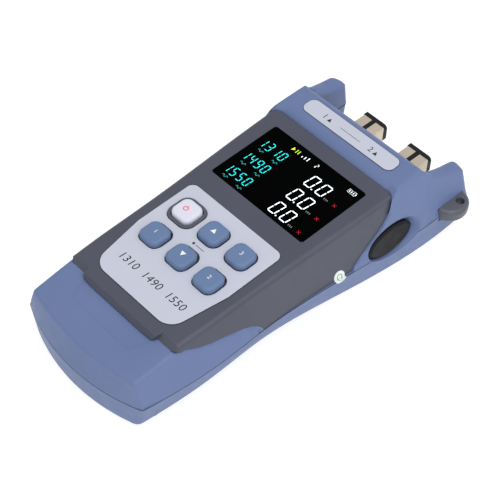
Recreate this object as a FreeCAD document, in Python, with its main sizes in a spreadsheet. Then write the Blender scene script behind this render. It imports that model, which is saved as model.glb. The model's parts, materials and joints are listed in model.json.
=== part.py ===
import FreeCAD, Part
import math
import os
import Sketcher
from FreeCAD import Placement, Rotation, Vector

# Handheld optical power meter with two fibre ports, lying on its back.
# Row frame: +X right, +Y towards the ports, +Z up, origin in the middle of the back.
# Pieces on the front are drawn in the face frame: its origin is the middle of the display's
# lower edge, and it is tilted so that the front face rises towards the ports.

doc = FreeCAD.newDocument("optical_power_meter")
sheet = doc.addObject("Spreadsheet::Sheet", "Sizes")

SIZES = [
    # housing, seen from above: distances from the middle, and half widths at the parting line
    ("end_reach", 98.2),
    ("end_bow", 7.7),
    ("crown_bow", 2.2),
    ("corner_half", 36.4),
    ("grip_reach", 50.0),
    ("grip_half", 39.8),
    ("waist_reach", 29.0),
    ("waist_half", 39.3),
    ("shoulder_reach", 30.0),
    ("shoulder_half", 43.2),
    ("head_reach", 65.0),
    ("head_half", 45.6),
    ("horn_half", 45.0),
    ("horn_inner_half", 35.8),
    ("horn_outer_reach", 94.0),
    ("horn_reach", 98.2),
    # housing, seen from the side
    ("lower_depth", 16.5),
    ("face_rise", 21.0),
    ("face_tilt", 2.38),
    ("face_start", 3.9),
    ("side_draft", 18.2),
    ("grip_draft", 20.9),
    ("waist_draft", 16.5),
    ("shoulder_draft", 16.0),
    ("head_draft", 19.5),
    ("horn_draft", 9.4),
    ("lower_draft", 6.5),
    ("foot_lower_draft", 14.0),
    ("end_lower_draft", 6.0),
    ("head_lower_draft", 1.5),
    ("base_round", 4.0),
    ("base_sunk", 0.1),
    ("crease_round", 2.5),
    ("end_round", 2.0),
    ("horn_round", 9.0),
    ("horn_inner_round", 1.5),
    ("horn_outer_round", 4.0),
    ("horn_rise", 12.0),
    ("shell_wall", 2.0),
    ("seam", 0.3),
    ("grip_round", 14.0),
    ("cap_step", 2.4),
    ("cap_slope", 4.3),
    ("panel_depth", 0.5),
    ("panel_half", 23.3),
    ("panel_end_half", 18.3),
    ("panel_end", 86.3),
    ("head_step", 2.2),
    ("head_front", 50.8),
    ("head_back", 64.4),
    ("bay_top", 66.5),
    ("bay_foot", 80.5),
    ("bay_wall", 3.3),
    # front bezel
    ("bezel_thick", 2.2),
    ("bezel_foot", 75.4),
    ("foot_bevel", 3.4),
    ("tongue_reach", 2.2),
    ("tongue_half", 21.5),
    ("tongue_bow", 1.0),
    ("tongue_bevel", 2.2),
    ("bezel_top", 47.2),
    ("bezel_sunk", 1.0),
    ("bezel_proud", 0.4),
    ("bezel_foot_half", 34.4),
    ("bezel_top_half", 39.2),
    ("bezel_foot_round", 7.0),
    ("bezel_top_round", 8.0),
    ("fit_gap", 0.15),
    # display
    ("window_width", 56.0),
    ("window_height", 39.2),
    ("window_thick", 1.4),
    ("window_corner", 1.2),
    ("view_border", 2.5),
    ("gasket_thick", 0.5),
    ("gasket_width", 2.0),
    # labels
    ("label_thick", 0.3),
    ("label_half", 27.9),
    ("label_top", 10.4),
    ("label_bend", 41.4),
    ("label_foot", 69.3),
    ("label_foot_half", 23.4),
    ("label_corner", 3.5),
    ("label_foot_corner", 8.0),
    ("head_label_length", 54.2),
    ("head_label_start", 53.5),
    ("head_label_width", 8.8),
    ("head_label_corner", 3.4),
    # keys
    ("key_width", 11.4),
    ("key_corner", 3.6),
    ("key_pitch", 16.6),
    ("key_row", 24.0),
    ("key_row_pitch", 17.9),
    ("key_height", 3.0),
    ("key_edge", 1.5),
    ("key_gap", 0.35),
    ("key_flange", 1.1),
    ("key_flange_thick", 1.0),
    ("key_travel", 1.0),
    ("key_post", 2.0),
    ("power_key_width", 11.4),
    ("power_ring_width", 14.8),
    ("power_ring_height", 0.9),
    ("power_ring_corner", 4.8),
    # board and switches
    ("board_depth", 9.0),
    ("board_thick", 1.6),
    ("board_half", 28.0),
    ("board_foot", 66.0),
    ("board_top", 60.0),
    ("switch_width", 6.0),
    ("switch_height", 3.5),
    ("plunger_radius", 1.7),
    ("plunger_clearance", 0.05),
    ("plunger_depth", 1.2),
    ("boss_radius", 3.0),
    ("board_screw_radius", 1.0),
    ("board_screw_head", 2.0),
    ("board_screw_length", 5.0),
    # fibre ports
    ("port_spacing", 27.8),
    ("port_drop", 2.2),
    ("adapter_width", 12.8),
    ("adapter_height", 9.3),
    ("adapter_back", 67.0),
    ("adapter_mouth", 94.6),
    ("flange_width", 21.0),
    ("flange_thick", 2.0),
    ("mouth_width", 9.2),
    ("mouth_height", 7.5),
    ("mouth_depth", 12.0),
    ("keyway_width", 2.4),
    ("sleeve_holder_radius", 2.4),
    ("sleeve_radius", 1.6),
    ("sleeve_bore", 1.26),
    ("sleeve_length", 11.4),
    ("cap_plate_thick", 2.4),
    ("cap_plate_width", 13.0),
    ("cap_plate_height", 9.5),
    ("cap_clearance", 0.1),
    ("cap_reach", 9.0),
    ("cap_pull", 12.0),
    ("detector_radius", 4.5),
    ("detector_length", 12.0),
    # strap lug on the right horn
    ("lug_reach", 85.4),
    ("lug_out", 47.5),
    ("lug_middle", 83.0),
    ("lug_half_long", 9.0),
    ("lug_spread", 52.3),
    ("lug_edge", 44.0),
    ("lug_rim", 2.2),
    ("lug_bore", 2.1),
    ("lug_thick", 6.6),
    ("lug_lift", 3.8),
    ("lug_root", 39.0),
    # port cover on the right side
    ("cover_reach", 46.0),
    ("cover_out", 42.2),
    ("cover_lift", 2.6),
    ("cover_lean", 8.0),
    ("cover_long", 13.4),
    ("cover_high", 6.9),
    ("cover_thick", 2.4),
    ("cover_spigot", 2.0),
    ("cover_pull", 8.0),
    ("dish_long", 17.2),
    ("dish_high", 11.0),
    ("dish_depth", 4.5),
    ("dish_wall", 1.8),
    ("dish_shift", 1.2),
    ("dish_lift", 2.0),
    ("socket_width", 9.0),
    ("socket_length", 13.0),
    ("socket_gap", 1.5),
    # battery
    ("cell_radius", 7.2),
    ("cell_length", 50.5),
    ("cell_pitch", 14.8),
    ("cell_start", 66.0),
    ("cell_button", 2.6),
    ("contact_thick", 0.5),
    ("spring_length", 2.6),
    ("door_ledge", 1.5),
    ("door_thick", 1.8),
    ("door_sunk", 0.3),
    ("tab_half", 5.0),
    ("tab_length", 11.0),
    ("tab_thick", 3.0),
    ("tab_boss", 12.0),
    ("door_screw_seat", 2.0),
    ("door_screw_radius", 1.2),
    ("door_screw_head", 2.4),
    ("door_screw_length", 7.0),
    # shell screws
    ("post_x_foot", 29.0),
    ("post_y_foot", 81.0),
    ("post_x_head", 37.0),
    ("post_y_head", 68.0),
    ("post_radius", 3.6),
    ("screw_radius", 1.4),
    ("screw_head_radius", 2.7),
    ("screw_head_thick", 2.0),
    ("screw_length", 16.0),
    ("screw_sunk", 5.0),
    # inspection sticker
    ("sticker_radius", 2.9),
    ("sticker_reach", 15.5),
    ("sticker_thick", 0.25),
]
for row, (name, value) in enumerate(SIZES, start=1):
    sheet.set(f"A{row}", name)
    sheet.set(f"B{row}", str(value))
    sheet.setAlias(f"B{row}", name)
doc.recompute()


def size(name):
    """A driving size, read from the sheet."""
    return float(sheet.get(name))


# --------------------------------------------------------------------------------------
# Ways of working shared by the sub-parts
# --------------------------------------------------------------------------------------
def bind(thing, **expressions):
    """Ties properties to expressions; a double underscore in a name stands for a dot."""
    for path, expression in expressions.items():
        thing.setExpression(path.replace("__", "."), expression)


def new_body(label, on_face=False, x="0", y="0", z="0"):
    """A PartDesign body at (x, y, z) of the row frame, or lying in the face frame."""
    body = doc.addObject("PartDesign::Body", label)
    body.Label = label
    if on_face:
        body.Placement = Placement(Vector(), Rotation(Vector(1, 0, 0), 1))
        bind(body, Placement__Base__y="Sizes.face_start",
             Placement__Base__z="Sizes.lower_depth + Sizes.face_rise",
             Placement__Rotation__Angle="Sizes.face_tilt")
    else:
        bind(body, Placement__Base__x=x, Placement__Base__y=y, Placement__Base__z=z)
    return body


def sketch_on(body, name, role="XY_Plane", x="0", y="0", z="0"):
    """A sketch on one of the body's own planes, moved by (x, y) in it and z off it."""
    sketch = body.newObject("Sketcher::SketchObject", name)
    plane = next(f for f in body.Origin.OriginFeatures if f.Role == role)
    sketch.AttachmentSupport = [(plane, "")]
    sketch.MapMode = "FlatFace"
    bind(sketch, AttachmentOffset__Base__x=x, AttachmentOffset__Base__y=y, AttachmentOffset__Base__z=z)
    return sketch


def constrain(sketch, kind, *where, expression=None):
    """One constraint, with its value bound to an expression where it has one."""
    if expression is None:
        sketch.addConstraint(Sketcher.Constraint(kind, *where))
    else:
        index = sketch.addConstraint(Sketcher.Constraint(kind, *where, 10.0))
        sketch.setExpression(f"Constraints[{index}]", expression)


def draw_polygon(sketch, points):
    """Closed straight outline; gives back the index of its first line."""
    first = sketch.GeometryCount
    count = len(points)
    for i in range(count):
        sketch.addGeometry(Part.LineSegment(Vector(*points[i], 0), Vector(*points[(i + 1) % count], 0)))
    for i in range(count):
        constrain(sketch, "Coincident", first + i, 2, first + (i + 1) % count, 1)
    return first


def draw_rectangle(sketch, width, height):
    """Rectangle about the sketch's origin."""
    first = draw_polygon(sketch, [(-5, -5), (5, -5), (5, 5), (-5, 5)])
    for line in (first, first + 2):
        constrain(sketch, "Horizontal", line)
    for line in (first + 1, first + 3):
        constrain(sketch, "Vertical", line)
    constrain(sketch, "Symmetric", first, 1, first + 1, 2, -1, 1)
    constrain(sketch, "DistanceX", first, 1, first, 2, expression=width)
    constrain(sketch, "DistanceY", first + 1, 1, first + 1, 2, expression=height)


def draw_circle(sketch, radius):
    """Circle about the sketch's origin."""
    index = sketch.addGeometry(Part.Circle(Vector(), Vector(0, 0, 1), 5))
    constrain(sketch, "Coincident", index, 3, -1, 1)
    constrain(sketch, "Radius", index, expression=radius)


def draw_tapered(sketch, rows):
    """Outline symmetric about the sketch's vertical axis; rows of (half width, depth below the top)."""
    count = len(rows)
    right = [(20 - i, -20.0 * i) for i in range(count)]
    left = [(-x, y) for x, y in reversed(right)]
    first = draw_polygon(sketch, right + left)
    last = 2 * count - 1
    constrain(sketch, "PointOnObject", first, 1, -1)
    for i, (half, depth) in enumerate(rows):
        constrain(sketch, "Symmetric", first + i, 1, first + last - i, 1, -2)
        constrain(sketch, "DistanceX", first + last - i, 1, first + i, 1, expression=f"2 * ({half})")
        if i:
            constrain(sketch, "DistanceY", first + i, 1, -1, 1, expression=depth)


def pad(body, sketch, length, reverse=False, taper=None):
    feature = body.newObject("PartDesign::Pad", f"{sketch.Name}_pad")
    feature.Profile = sketch
    feature.Reversed = reverse
    bind(feature, Length=length)
    if taper:
        bind(feature, TaperAngle=taper)
    doc.recompute()
    return feature


def pocket(body, sketch, length, reverse=False):
    """Cut from the sketch; stops if nothing was cut."""
    before = body.Shape.Volume
    feature = body.newObject("PartDesign::Pocket", f"{sketch.Name}_pocket")
    feature.Profile = sketch
    feature.Reversed = reverse
    bind(feature, Length=length)
    doc.recompute()
    assert body.Shape.Volume < before - 1e-6, f"{sketch.Name} cuts nothing"
    return feature


def fillet(body, feature, radius, choose, kind="PartDesign::Fillet"):
    """Rounds the edges of the feature that choose() accepts."""
    edges = [f"Edge{i}" for i, edge in enumerate(feature.Shape.Edges, start=1) if choose(edge)]
    rounding = body.newObject(kind, f"{feature.Name}_edges")
    rounding.Base = (feature, edges)
    bind(rounding, **{"Radius" if kind.endswith("Fillet") else "Size": radius})
    doc.recompute()
    return rounding


def upright(edge):
    """True for a straight edge along its feature's own Z."""
    if not isinstance(edge.Curve, Part.Line):
        return False
    return abs(abs(edge.Curve.Direction.z) - 1) < 1e-6


def at_height(level):
    """Chooses edges that lie wholly at one height of the feature's own frame."""
    return lambda edge: all(abs(v.Z - level) < 1e-4 for v in edge.Vertexes)


def code_part(label, shape, placement=None):
    """A sub-part whose form is worked out below from the sheet's sizes."""
    part = doc.addObject("Part::Feature", label)
    part.Label = label
    part.Shape = shape
    if placement:
        part.Placement = placement
    return part


# --------------------------------------------------------------------------------------
# Housing forms
# --------------------------------------------------------------------------------------
PARTING = size("lower_depth")
TILT = math.radians(size("face_tilt"))
HORN_RISE = size("horn_rise")
FACE = Placement(Vector(0, size("face_start"), PARTING + size("face_rise")),
                 Rotation(Vector(1, 0, 0), size("face_tilt")))
FAR = 2 * size("end_reach")


def face_height(y, step=0.0, slope=0.0, start=0.0):
    """Height of a plane on the front at row y: step above the face, sloping down from start."""
    along = (y - size("face_start")) / math.cos(TILT)
    fall = math.tan(math.radians(slope)) * (along - start)
    return PARTING + size("face_rise") + along * math.sin(TILT) + (step + fall) / math.cos(TILT)


def stations(grip_extra=0.0, shoulder_extra=0.0):
    """Where the housing's sides change, from the end to the horns: y, half width at the parting
    line, then the names of the draft and the edge rounding above it and of those below it."""
    return [
        (-size("end_reach") - 6.0, size("corner_half") - 1.2,
         "side_draft", "crease_round", "foot_lower_draft", "base_round"),
        (-size("end_reach") + size("end_bow"), size("corner_half"),
         "side_draft", "crease_round", "foot_lower_draft", "base_round"),
        (-size("grip_reach"), size("grip_half") + grip_extra,
         "grip_draft", "crease_round", "lower_draft", "grip_round"),
        (-size("waist_reach"), size("waist_half"),
         "waist_draft", "crease_round", "lower_draft", "grip_round"),
        (size("shoulder_reach"), size("shoulder_half") - shoulder_extra,
         "shoulder_draft", "crease_round", "lower_draft", "base_round"),
        (size("head_reach"), size("head_half") - shoulder_extra,
         "head_draft", "crease_round", "head_lower_draft", "base_round"),
        (size("horn_reach") + 4.0, size("horn_half") - shoulder_extra,
         "head_draft", "horn_round", "lower_draft", "base_round"),
    ]


def slope_of(name):
    """Sideways run of a draft for each millimetre of height."""
    return math.tan(math.radians(size(name)))


def section(half, y, level, draft, radius, floor=PARTING):
    """Cross-section wire from the floor to a level above or below it, with rounded corners."""
    way = 1 if level > floor else -1
    shoulder = half - draft * abs(level - floor)
    turn = math.atan2(1, draft)
    run = radius * math.tan(turn / 2)
    sides = []
    for sign in (1, -1):
        low = Vector(sign * half, y, floor)
        start = Vector(sign * (shoulder + run * math.cos(turn)), y, level - way * run * math.sin(turn))
        end = Vector(sign * (shoulder - run), y, level)
        centre = Vector(sign * (shoulder - run), y, level - way * radius)
        bow = Vector(sign * math.sin(turn / 2), 0, way * math.cos(turn / 2)) * radius
        sides.append((low, start, centre + bow, end))
    (low_r, start_r, mid_r, end_r), (low_l, start_l, mid_l, end_l) = sides
    return Part.Wire([
        Part.makeLine(low_l, low_r), Part.makeLine(low_r, start_r), Part.Arc(start_r, mid_r, end_r).toShape(),
        Part.makeLine(end_r, end_l), Part.Arc(end_l, mid_l, start_l).toShape(), Part.makeLine(start_l, low_l),
    ])


def crowned_hull(sides, top, inset, floor=PARTING):
    """Upper housing form: drafted sides and rounded shoulders under the height top(y)."""
    wires = []
    for y, half, draft_name, round_name, _, _ in sides:
        draft = slope_of(draft_name)
        wide = half - inset / math.cos(math.atan(draft)) + draft * (PARTING - floor)
        radius = max(size(round_name) - inset, 0.8)
        wires.append(section(wide, y, top(y) - inset, draft, radius, floor))
    return Part.makeLoft(wires, True, False)


def keel_hull(inset, roof=PARTING):
    """Lower housing form: its lower edges are rounded far more along the hand grip.

    It reaches a little below the back, so that a cut then leaves a true plane there.
    """
    wires = []
    for y, half, _, _, draft_name, round_name in stations():
        draft = slope_of(draft_name)
        wide = half - inset + draft * (roof - PARTING)
        radius = max(size(round_name) - inset, 0.8)
        wires.append(section(wide, y, inset - size("base_sunk"), draft, radius, roof))
    return Part.makeLoft(wires, True, False)


def end_block(low, high, inset):
    """All that lies within the bowed bottom end, between the parting line and another height."""
    wires = []
    for z in (low, high):
        rise = z - PARTING
        lean = slope_of("side_draft") if rise > 0 else -slope_of("end_lower_draft")
        reach = size("end_reach") - lean * rise - inset
        bow = size("end_bow")
        if rise > 0:
            bow += (size("crown_bow") - size("end_bow")) * rise / size("face_rise")
        half = size("corner_half")
        arc = Part.Arc(Vector(-half, bow - reach, z), Vector(0, -reach, z), Vector(half, bow - reach, z))
        corner_left, corner_right = Vector(-half, bow - reach, z), Vector(half, bow - reach, z)
        wide = 2 * half
        slope = bow / half
        outer_left = Vector(-wide, bow - reach + slope * half, z)
        outer_right = Vector(wide, bow - reach + slope * half, z)
        wires.append(Part.Wire([
            Part.makeLine(outer_left, corner_left), arc.toShape(), Part.makeLine(corner_right, outer_right),
            Part.makeLine(outer_right, Vector(wide, FAR, z)),
            Part.makeLine(Vector(wide, FAR, z), Vector(-wide, FAR, z)),
            Part.makeLine(Vector(-wide, FAR, z), outer_left),
        ]))
    return Part.makeLoft(wires, True, True)


def corner_arc(corner, one, two, radius, room):
    """Arc that rounds a corner from which two lines leave, as far as the room along them allows."""
    one.normalize()
    two.normalize()
    turn = one.getAngle(two) / 2
    radius = min(radius, room * math.tan(turn))
    middle = (one + two).normalize()
    start, end = corner + one * (radius / math.tan(turn)), corner + two * (radius / math.tan(turn))
    return start, Part.Arc(start, corner + middle * (radius / math.sin(turn) - radius), end).toShape(), end


def horn_block(*heights):
    """All that lies before the slanted, rounded horn tips between the given heights."""
    wires = []
    for z in heights:
        upper = z > PARTING
        rise = min(abs(z - PARTING), HORN_RISE if upper else 99)
        back = slope_of("horn_draft" if upper else "lower_draft") * rise
        inner, outer, wide = size("horn_inner_half"), size("horn_half"), size("horn_half") + 20
        tip, side = size("horn_reach") - back, size("horn_outer_reach") - back
        lean = (tip - side) / (outer - inner)
        flank = outer + 0.4 - slope_of("head_draft" if upper else "lower_draft") * rise
        room = 0.49 * math.hypot(1, lean) * (flank - inner)
        line = Part.makeLine
        edges = [line(Vector(-wide, -FAR, z), Vector(wide, -FAR, z))]
        for way in (1, -1):
            corner = Vector(way * flank, side - lean * (flank - outer), z)
            start, turn, end = corner_arc(
                corner, Vector(0, -1, 0), Vector(-way, lean, 0), size("horn_outer_round"), room)
            inner_start, inner_turn, inner_end = corner_arc(
                Vector(way * inner, tip, z), Vector(way, -lean, 0), Vector(0, -1, 0),
                size("horn_inner_round"), room)
            step, foot = Vector(way * wide, start.y - 12, z), Vector(way * wide, -FAR, z)
            edges += [line(foot, step), line(step, start), turn, line(end, inner_start), inner_turn,
                      line(inner_end, Vector(0, inner_end.y, z))]
        wires.append(Part.Wire(Part.sortEdges(edges)[0]))
    return Part.makeLoft(wires, True, True)


def side_prism(points, width, framed=True):
    """Side-view outline drawn out across the housing; points are (y, z), in the face frame if framed."""
    wire = Part.makePolygon([Vector(-width, y, z) for y, z in points + points[:1]])
    solid = Part.Face(wire).extrude(Vector(2 * width, 0, 0))
    if framed:
        solid.Placement = FACE
    return solid


def bay_cutter():
    """The space between the horns, with the leaning end wall that the ports come out of."""
    top, foot = size("bay_top"), size("bay_foot")
    at_top = FACE.multVec(Vector(0, top, 0))
    lean = (foot - at_top.y) / (at_top.z - PARTING)
    high = PARTING + 3 * size("face_rise")
    points = [(foot, -1), (foot, PARTING), (at_top.y - lean * (high - at_top.z), high), (FAR, high), (FAR, -1)]
    return side_prism(points, size("horn_inner_half"), framed=False)


def bezel_zone(grow):
    """Everything in front of the parting line that belongs to the bezel, grown by a gap."""
    foot, top = size("bezel_foot"), size("bezel_top")
    drop = size("face_rise") + 3
    lower = [(-foot + 5.5, -2.9), (-foot + 12, -5.6), (-foot + 21, -8.2), (-foot + 31.3, -11.0),
             (-foot + 38.9, -14.3), (-foot + 42.5, -17.5), (-foot + 43.6, -drop)]
    upper = [(top - 28.8, -drop), (top - 28.6, -20.5), (top - 26.0, -18.8), (top - 21.0, -15.9),
             (top - 16.0, -13.4), (top - 10.8, -10.6), (top - 5.2, -6.6), (top - 1.9, -3.0)]
    left = Part.BSplineCurve()
    left.interpolate([Vector(-60, y - grow, z) for y, z in lower])
    right = Part.BSplineCurve()
    right.interpolate([Vector(-60, y + grow, z) for y, z in upper])
    line = Part.makeLine
    a, b = Vector(-60, -foot - grow, 4), Vector(-60, -foot - grow, -2.9)
    c, d = Vector(-60, top + grow, -3.0), Vector(-60, top + grow, 4)
    edges = [line(a, b), line(b, left.StartPoint), left.toShape(), line(left.EndPoint, right.StartPoint),
             right.toShape(), line(right.EndPoint, c), line(c, d), line(d, a)]
    zone = Part.Face(Part.Wire(edges)).extrude(Vector(120, 0, 0))
    corners = []
    for y, sign, radius in ((-foot - grow, 1, size("bezel_foot_round")), (top + grow, -1, size("bezel_top_round"))):
        for side in (1, -1):
            edge_x = grow + (size("bezel_foot_half") if sign > 0 else size("bezel_top_half"))
            block = Part.makeBox(radius + 9, radius + 2, 12)
            block.translate(Vector(side * (edge_x - radius) - (0 if side > 0 else radius + 9),
                                   y - (2 if sign > 0 else radius), -6.2))
            post = Part.makeCylinder(radius, 14, Vector(side * (edge_x - radius), y + sign * radius, -7))
            corners.append(block.cut(post))
    zone = zone.cut(corners).fuse(tongue_prism(grow, -2.9, 4, foot + size("tongue_reach") + grow))
    zone.Placement = FACE
    return zone


def tongue_prism(grow, low, high, reach):
    """Block over the middle of the bezel's foot, its ends set at a slant, in the face's own frame."""
    half, foot = size("tongue_half") + grow, size("bezel_foot")
    left, right = [[Vector(way * (half + spread), y, low) for spread, y in
                    ((1.8, 6 - foot), (0.9, -foot), (0, size("tongue_bow") - reach))] for way in (-1, 1)]
    edges = [Part.makeLine(left[0], left[1]), Part.makeLine(left[1], left[2]),
             Part.Arc(left[2], Vector(0, -reach, low), right[2]).toShape(),
             Part.makeLine(right[2], right[1]), Part.makeLine(right[1], right[0]), Part.makeLine(right[0], left[0])]
    return Part.Face(Part.Wire(edges)).extrude(Vector(0, 0, high - low))


def foot_bevels():
    """What is cut off the bezel's foot so that it falls to the cap, less far in the middle."""
    foot, deep = size("bezel_foot"), size("cap_step") + 0.5
    cuts = []
    for edge, run in ((-foot, size("foot_bevel")), (-foot - size("tongue_reach"), size("tongue_bevel"))):
        cuts.append(side_prism([(edge, -deep), (edge + run, 0), (edge + run, 5), (-99, 5), (-99, -deep)], 60))
    middle = tongue_prism(0, -9, 9, 120)
    middle.Placement = FACE
    return [cuts[0].cut(middle), cuts[1]]


def face_box(x0, x1, y0, y1, z0, z1):
    """Box in the face frame."""
    box = Part.makeBox(x1 - x0, y1 - y0, z1 - z0)
    box.Placement = FACE.multiply(Placement(Vector(x0, y0, z0), Rotation()))
    return box


def rounded(shape, radius, choose):
    """Shape with the chosen edges rounded."""
    edges = [edge for edge in shape.Edges if choose(edge)]
    return shape.makeFillet(radius, edges)


def row_box(x0, x1, y0, y1, z0, z1):
    """Box in the row frame."""
    return Part.makeBox(x1 - x0, y1 - y0, z1 - z0, Vector(x0, y0, z0))


def end_edges(edge):
    """Edges of the bottom end above or below the parting line."""
    box = edge.BoundBox
    near_end = box.YMax < -size("end_reach") + size("end_bow") + 8
    return near_end and abs(box.ZMax - PARTING) + abs(box.ZMin - PARTING) > 1


def cap_top(y):
    """Height of the bottom cap's top, a step below the face and falling towards the end."""
    return face_height(y, -size("cap_step"), size("cap_slope"), -size("bezel_foot"))


def head_top(y):
    """Height of the head's top, a step above the face."""
    return face_height(y, size("head_step"))


def face_top(y):
    """Height of the bezel's face."""
    return face_height(y)


BEZEL_SIDES = stations(size("bezel_proud"), size("bezel_sunk"))
SKY = PARTING + size("face_rise") + 9
BEZEL_SEAT = size("bezel_thick") + size("fit_gap")
CEILING = BEZEL_SEAT + size("shell_wall")


def frustum(x, y, z0, z1, radius, top_radius=None):
    """Upright round post or hole of the row frame."""
    if top_radius is None:
        return Part.makeCylinder(radius, z1 - z0, Vector(x, y, z0))
    return Part.makeCone(radius, top_radius, z1 - z0, Vector(x, y, z0))


def face_post(x, y, z0, z1, radius):
    """Round post or hole square to the face, placed in the face frame."""
    post = Part.makeCylinder(radius, z1 - z0, Vector(0, 0, 0))
    post.Placement = FACE.multiply(Placement(Vector(x, y, z0), Rotation()))
    return post


def cover_frame():
    """Frame of the port cover: local Z points out of the side, local X towards the ports."""
    lean = math.radians(size("cover_lean"))
    out = Vector(math.cos(lean), 0, math.sin(lean))
    along = Vector(0, 1, 0)
    place = Placement(Vector(size("cover_out"), size("cover_reach"), PARTING + size("cover_lift")),
                      Rotation(along, out.cross(along), out, "ZXY"))
    return place


def oval(half_long, half_high, z0, z1, end_long=None, end_high=None, shift=(0, 0)):
    """Straight or flared oval block of the port cover's frame."""
    wires = []
    for z, a, b, move in ((z0, half_long, half_high, (0, 0)),
                          (z1, end_long or half_long, end_high or half_high, shift)):
        curve = Part.Ellipse(Vector(a + move[0], move[1], z), Vector(move[0], b + move[1], z),
                             Vector(move[0], move[1], z))
        wires.append(Part.Wire(curve.toShape()))
    block = Part.makeLoft(wires, True, True)
    block.Placement = cover_frame()
    return block


def adapter_holes():
    """Openings of the two adapters through the end wall, and the room of their flanges."""
    holes = []
    gap = size("fit_gap")
    middle = PARTING - size("port_drop")
    for side in (-1, 1):
        x = side * size("port_spacing") / 2
        half, high = size("adapter_width") / 2 + gap, size("adapter_height") / 2 + gap
        holes.append(row_box(x - half, x + half, size("bay_top"), size("bay_foot") + 10, middle - high, middle + high))
    return holes


KEYS = [
    ("power_key", -1, 0), ("up_key", 0, 0), ("upper_right_key", 1, 0),
    ("lower_left_key", -1, 1), ("down_key", 0, 1), ("lower_right_key", 1, 1),
]


def key_place(column, line):
    return column * size("key_pitch"), -size("key_row") - line * size("key_row_pitch")


def screw_posts():
    """(x, y) of the four posts that hold the shells together."""
    foot_x, foot_y = size("post_x_foot"), -size("post_y_foot")
    head_x, head_y = size("post_x_head"), size("post_y_head")
    return [(-foot_x, foot_y), (foot_x, foot_y), (-head_x, head_y), (head_x, head_y)]


def board_bosses():
    """(x, y) of the four board screws, in the face frame."""
    inset = 1.2 * size("boss_radius")
    x = size("board_half") - inset
    return [(side * x, y) for side in (-1, 1) for y in (inset - size("board_foot"), size("board_top") - inset)]


# --------------------------------------------------------------------------------------
# Front bezel: one dark moulding that covers the front and wraps down to the parting line
# --------------------------------------------------------------------------------------
def make_bezel():
    bezel = crowned_hull(BEZEL_SIDES, face_top, 0).common(bezel_zone(0))
    bezel = bezel.cut([crowned_hull(BEZEL_SIDES, face_top, size("bezel_thick"), PARTING - 1)] + foot_bevels())
    half_w, high = size("window_width") / 2, size("window_height")
    gap, border = 0.05, size("view_border")
    seat = face_box(-half_w - gap, half_w + gap, -gap, high + gap, -size("window_thick"), 5)
    view = face_box(border - half_w, half_w - border, border, high - border, -9, 5)
    cuts = [seat, view]
    for name, column, line in KEYS:
        x, y = key_place(column, line)
        wide = size("power_ring_width") if name == "power_key" else size("key_width") + 2 * size("key_gap")
        corner = size("power_ring_corner") if name == "power_key" else size("key_corner")
        hole = face_box(x - wide / 2, x + wide / 2, y - wide / 2, y + wide / 2, -9, 5)
        axis = FACE.Rotation.multVec(Vector(0, 0, 1))
        cuts.append(rounded(hole, corner, lambda e: isinstance(e.Curve, Part.Line)
                            and abs(abs(e.Curve.Direction.dot(axis)) - 1) < 1e-6))
    return bezel.cut(cuts)


code_part("front_bezel", make_bezel())


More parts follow.
